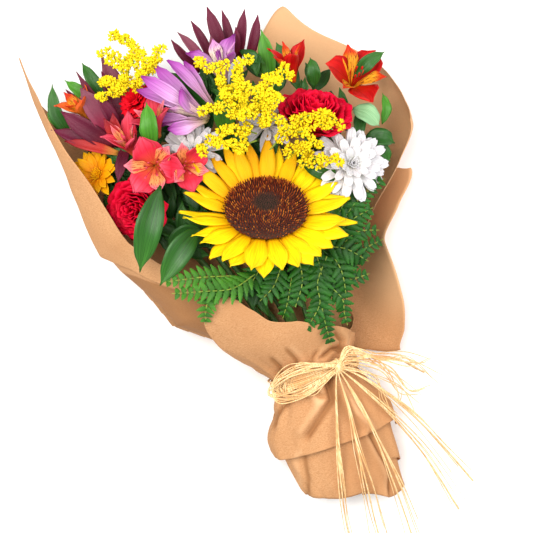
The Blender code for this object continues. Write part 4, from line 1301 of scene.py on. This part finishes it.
# Each leaf: its name, its finish, its width, its tone and its route in millimetres.
LEAVES = (
    ("leaf_front_left", 0, 0.026, 0.2, ((-70, 206, 140), (-92, 176, 146), (-113, 142, 132))),
    ("leaf_front_centre", 0, 0.024, 0.6, ((-50, 162, 120), (-74, 148, 130), (-101, 125, 127))),
    ("leaf_left", 0, 0.014, 0.3, ((-134, 280, 78), (-139, 303, 86), (-133, 329, 90))),
    ("leaf_right_upper", 0, 0.014, 0.5, ((124, 242, 86), (140, 250, 93), (158, 254, 92))),
    ("leaf_right_lower", 2, 0.019, 0.3, ((114, 216, 88), (124, 206, 96), (131, 193, 90))),
    ("leaf_top", 1, 0.017, 0.2, ((52, 262, 70), (58, 287, 78), (61, 312, 83))),
    ("broad_leaf_behind_lilac", 0, 0.026, 0.1, ((-6, 250, 88), (-24, 282, 98), (-34, 306, 94))),
    ("olive_leaf", 1, 0.022, 0.9, ((-2, 230, 108), (4, 250, 118), (10, 270, 112))),
    ("leaf_among_pink", 1, 0.018, 0.1, ((-68, 238, 128), (-61, 258, 141), (-57, 278, 137))),
    ("tall_leaf_left", 0, 0.014, 0.5, ((-94, 296, 76), (-98, 320, 82), (-102, 340, 80))),
    ("second_leaf_left", 1, 0.012, 0.4, ((-104, 300, 76), (-114, 318, 82), (-122, 330, 80))),
    ("far_leaf_left", 0, 0.012, 0.2, ((-142, 286, 78), (-140, 306, 82), (-134, 325, 80))),
    ("edge_leaf_left", 1, 0.009, 0.6, ((-139, 292, 80), (-143, 300, 83), (-147, 307, 83))),
    ("leaf_by_red", 0, 0.013, 0.3, ((88, 246, 86), (92, 260, 94), (93, 272, 92))),
    ("second_leaf_top", 0, 0.014, 0.4, ((68, 268, 72), (71, 284, 78), (70, 297, 78))),
    ("thin_leaf_right", 1, 0.010, 0.7, ((134, 194, 86), (142, 206, 90), (144, 220, 86))),
    ("dark_leaf_right", 0, 0.018, 0.8, ((114, 188, 84), (130, 182, 90), (139, 174, 84))),
    ("low_leaf_right", 0, 0.014, 0.5, ((112, 178, 82), (126, 172, 86), (130, 160, 80))),
    ("leaf_over_rose", 0, 0.020, 0.4, ((52, 186, 104), (66, 176, 110), (78, 158, 104))),
    ("leaf_under_sunflower", 0, 0.022, 0.3, ((20, 120, 96), (52, 126, 102), (74, 142, 98))),
    ("leaf_left_of_sunflower", 0, 0.022, 0.5, ((-46, 150, 94), (-68, 160, 104), (-86, 150, 102))),
)
finishes = (leaf_finish, light_leaf, pale_leaf)
chance = random.Random(31)
for name, kind, width, tone, points in LEAVES:
    bm = petal_mesh()
    route_leaf(bm, spots(points), width, tone, roll=chance.uniform(-0.35, 0.35))
    solids = [name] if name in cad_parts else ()
    petal_piece(name + "_blade", bm, finishes[kind], solids)

# Small dark leaves fill the depths between the heads and under the sunflower.
bm = petal_mesh()
for middle, half, low, high, count in (
    ((-0.002, 0.222), (0.126, 0.086), 0.066, 0.096, 190),
    ((0.026, 0.098), (0.052, 0.036), 0.074, 0.088, 70),
    ((-0.048, 0.178), (0.046, 0.046), 0.078, 0.094, 60),
    ((-0.112, 0.244), (0.018, 0.036), 0.056, 0.068, 30),
):
    for k in range(count):
        angle = chance.uniform(0.0, 2 * math.pi)
        reach = math.sqrt(chance.uniform(0.0, 1.0))
        x = middle[0] + half[0] * reach * math.cos(angle)
        y = middle[1] + half[1] * reach * math.sin(angle)
        z = chance.uniform(low, high) - 0.014 * reach
        turn = math.atan2(x, y - 0.02) + chance.uniform(-0.9, 0.9)
        size = chance.uniform(0.020, 0.034)
        way = Vector((math.sin(turn), math.cos(turn), 0.0)) * size
        if math.hypot((x + way.x - middle[0]) / half[0], (y + way.y - middle[1]) / half[1]) > 1:
            way.negate()
        rise = chance.uniform(-0.2, 0.4) * size
        points = (
            at(x, y, z), at(x + 0.5 * way.x, y + 0.5 * way.y, z + 0.5 * rise),
            at(x + way.x, y + way.y, z + 0.6 * rise),
        )
        route_leaf(
            bm, points, size * chance.uniform(0.32, 0.5), chance.random(), roll=chance.uniform(-0.8, 0.8),
            rows=8, columns=4,
        )
petal_piece("small_inner_leaves", bm, leaf_finish)


# ---- Ferns: flat fronds that droop over the wrap round the sunflower, each a thin rib
# with a row of small toothed leaflets down both sides.

fern_finish = petal_finish(
    "fern_leaflets",
    ((0.0, (0.012, 0.085, 0.005)), (0.6, (0.020, 0.135, 0.008)), (1.0, (0.040, 0.21, 0.014))),
    veins=10.0, contrast=0.4, shade=(0.005, 0.036, 0.003), shading=0.5, raised=0.6, Roughness=0.42,
    Specular_IOR_Level=0.3,
)
TOOTHED = (
    (0.0, 0.35), (0.13, 0.95), (0.21, 0.70), (0.34, 1.0), (0.42, 0.66), (0.54, 0.86), (0.62, 0.52),
    (0.73, 0.64), (0.80, 0.32), (0.90, 0.36), (1.0, 0.03),
)
FRONDS = (
    ("fern_right", (
        (0.024, ((50, 88, 84), (66, 118, 94), (84, 134, 98), (104, 143, 96), (119, 147, 91))),
        (0.020, ((54, 96, 86), (70, 108, 93), (83, 110, 94), (99, 105, 88))),
        (0.024, ((56, 112, 92), (78, 122, 99), (100, 126, 94))),
        (0.022, ((66, 128, 94), (84, 146, 99), (104, 160, 96))),
    )),
    ("fern_right_low", (
        (0.020, ((44, 76, 76), (62, 88, 84), (82, 94, 85), (100, 96, 78))),
        (0.018, ((46, 78, 74), (60, 72, 82), (78, 71, 78))),
        (0.024, ((46, 108, 90), (64, 100, 96), (80, 82, 90))),
    )),
    ("fern_front", (
        (0.021, ((46, 99, 94), (30, 80, 100), (26, 62, 98), (14, 50, 94), (4, 43, 88))),
        (0.018, ((30, 78, 96), (26, 56, 96), (24, 38, 88), (23, 22, 80))),
        (0.018, ((34, 82, 92), (46, 60, 90), (44, 46, 84), (43, 34, 80))),
        (0.018, ((10, 92, 94), (0, 74, 96), (-10, 60, 88))),
        (0.022, ((-10, 112, 94), (-26, 100, 102), (-44, 92, 104))),
        (0.022, ((6, 106, 92), (-8, 90, 99), (-24, 82, 102))),
        (0.022, ((22, 110, 92), (18, 86, 99), (4, 66, 99))),
        (0.024, ((38, 108, 92), (36, 86, 98), (28, 62, 96))),
        (0.022, ((50, 104, 90), (54, 82, 95), (50, 56, 88))),
    )),
    ("fern_left", (
        (0.022, ((-20, 106, 108), (-42, 101, 122), (-66, 107, 128), (-94, 115, 122))),
        (0.018, ((-44, 108, 116), (-60, 104, 122), (-70, 93, 120), (-76, 79, 108))),
        (0.018, ((-40, 112, 116), (-66, 120, 128), (-98, 127, 127))),
    )),
)
chance = random.Random(40)
for node, fronds in FRONDS:
    bm = petal_mesh()
    ribs = []
    for wide, points in fronds:
        route = smooth_route(spots(points), 0.0062)
        ribs.append(route)
        for i in range(1, len(route) - 1):
            share = i / (len(route) - 1)
            way = (route[i + 1] - route[i - 1]).normalized()
            side = way.cross(Vector((0, 0, 1))).normalized()
            size = wide * 0.80 * min(1.0, 0.55 + 2.2 * share) * (1.0 - 0.72 * share**1.6)
            for hand in (-1, 1):
                out = (side * hand + way * 0.62 + Vector((0, 0,
                                                          chance.uniform(-0.25, 0.12)))).normalized()
                up = out.cross(way * hand).normalized()
                across = out.cross(up)
                where = Matrix.Translation(route[i]) @ Matrix((across, out, up)).transposed().to_4x4()
                if where.determinant() < 0:
                    where = where @ Matrix.Diagonal((-1.0, 1.0, 1.0, 1.0))
                blade(
                    bm, where, size * chance.uniform(0.9, 1.08), 0.0046 + 0.12 * size, TOOTHED, rows=14,
                    columns=2, fold=0.2, bend=chance.uniform(-0.5, 0.2), tone=chance.random(),
                )
    petal_piece(
        node + "_leaflets", bm, light_leaf if node == "fern_left" else fern_finish,
        [node], 0.0003,
    )
    join_bouquet(strands(node + "_ribs", ribs, 0.0013, 0.0011, twig_finish, taper=0.6))
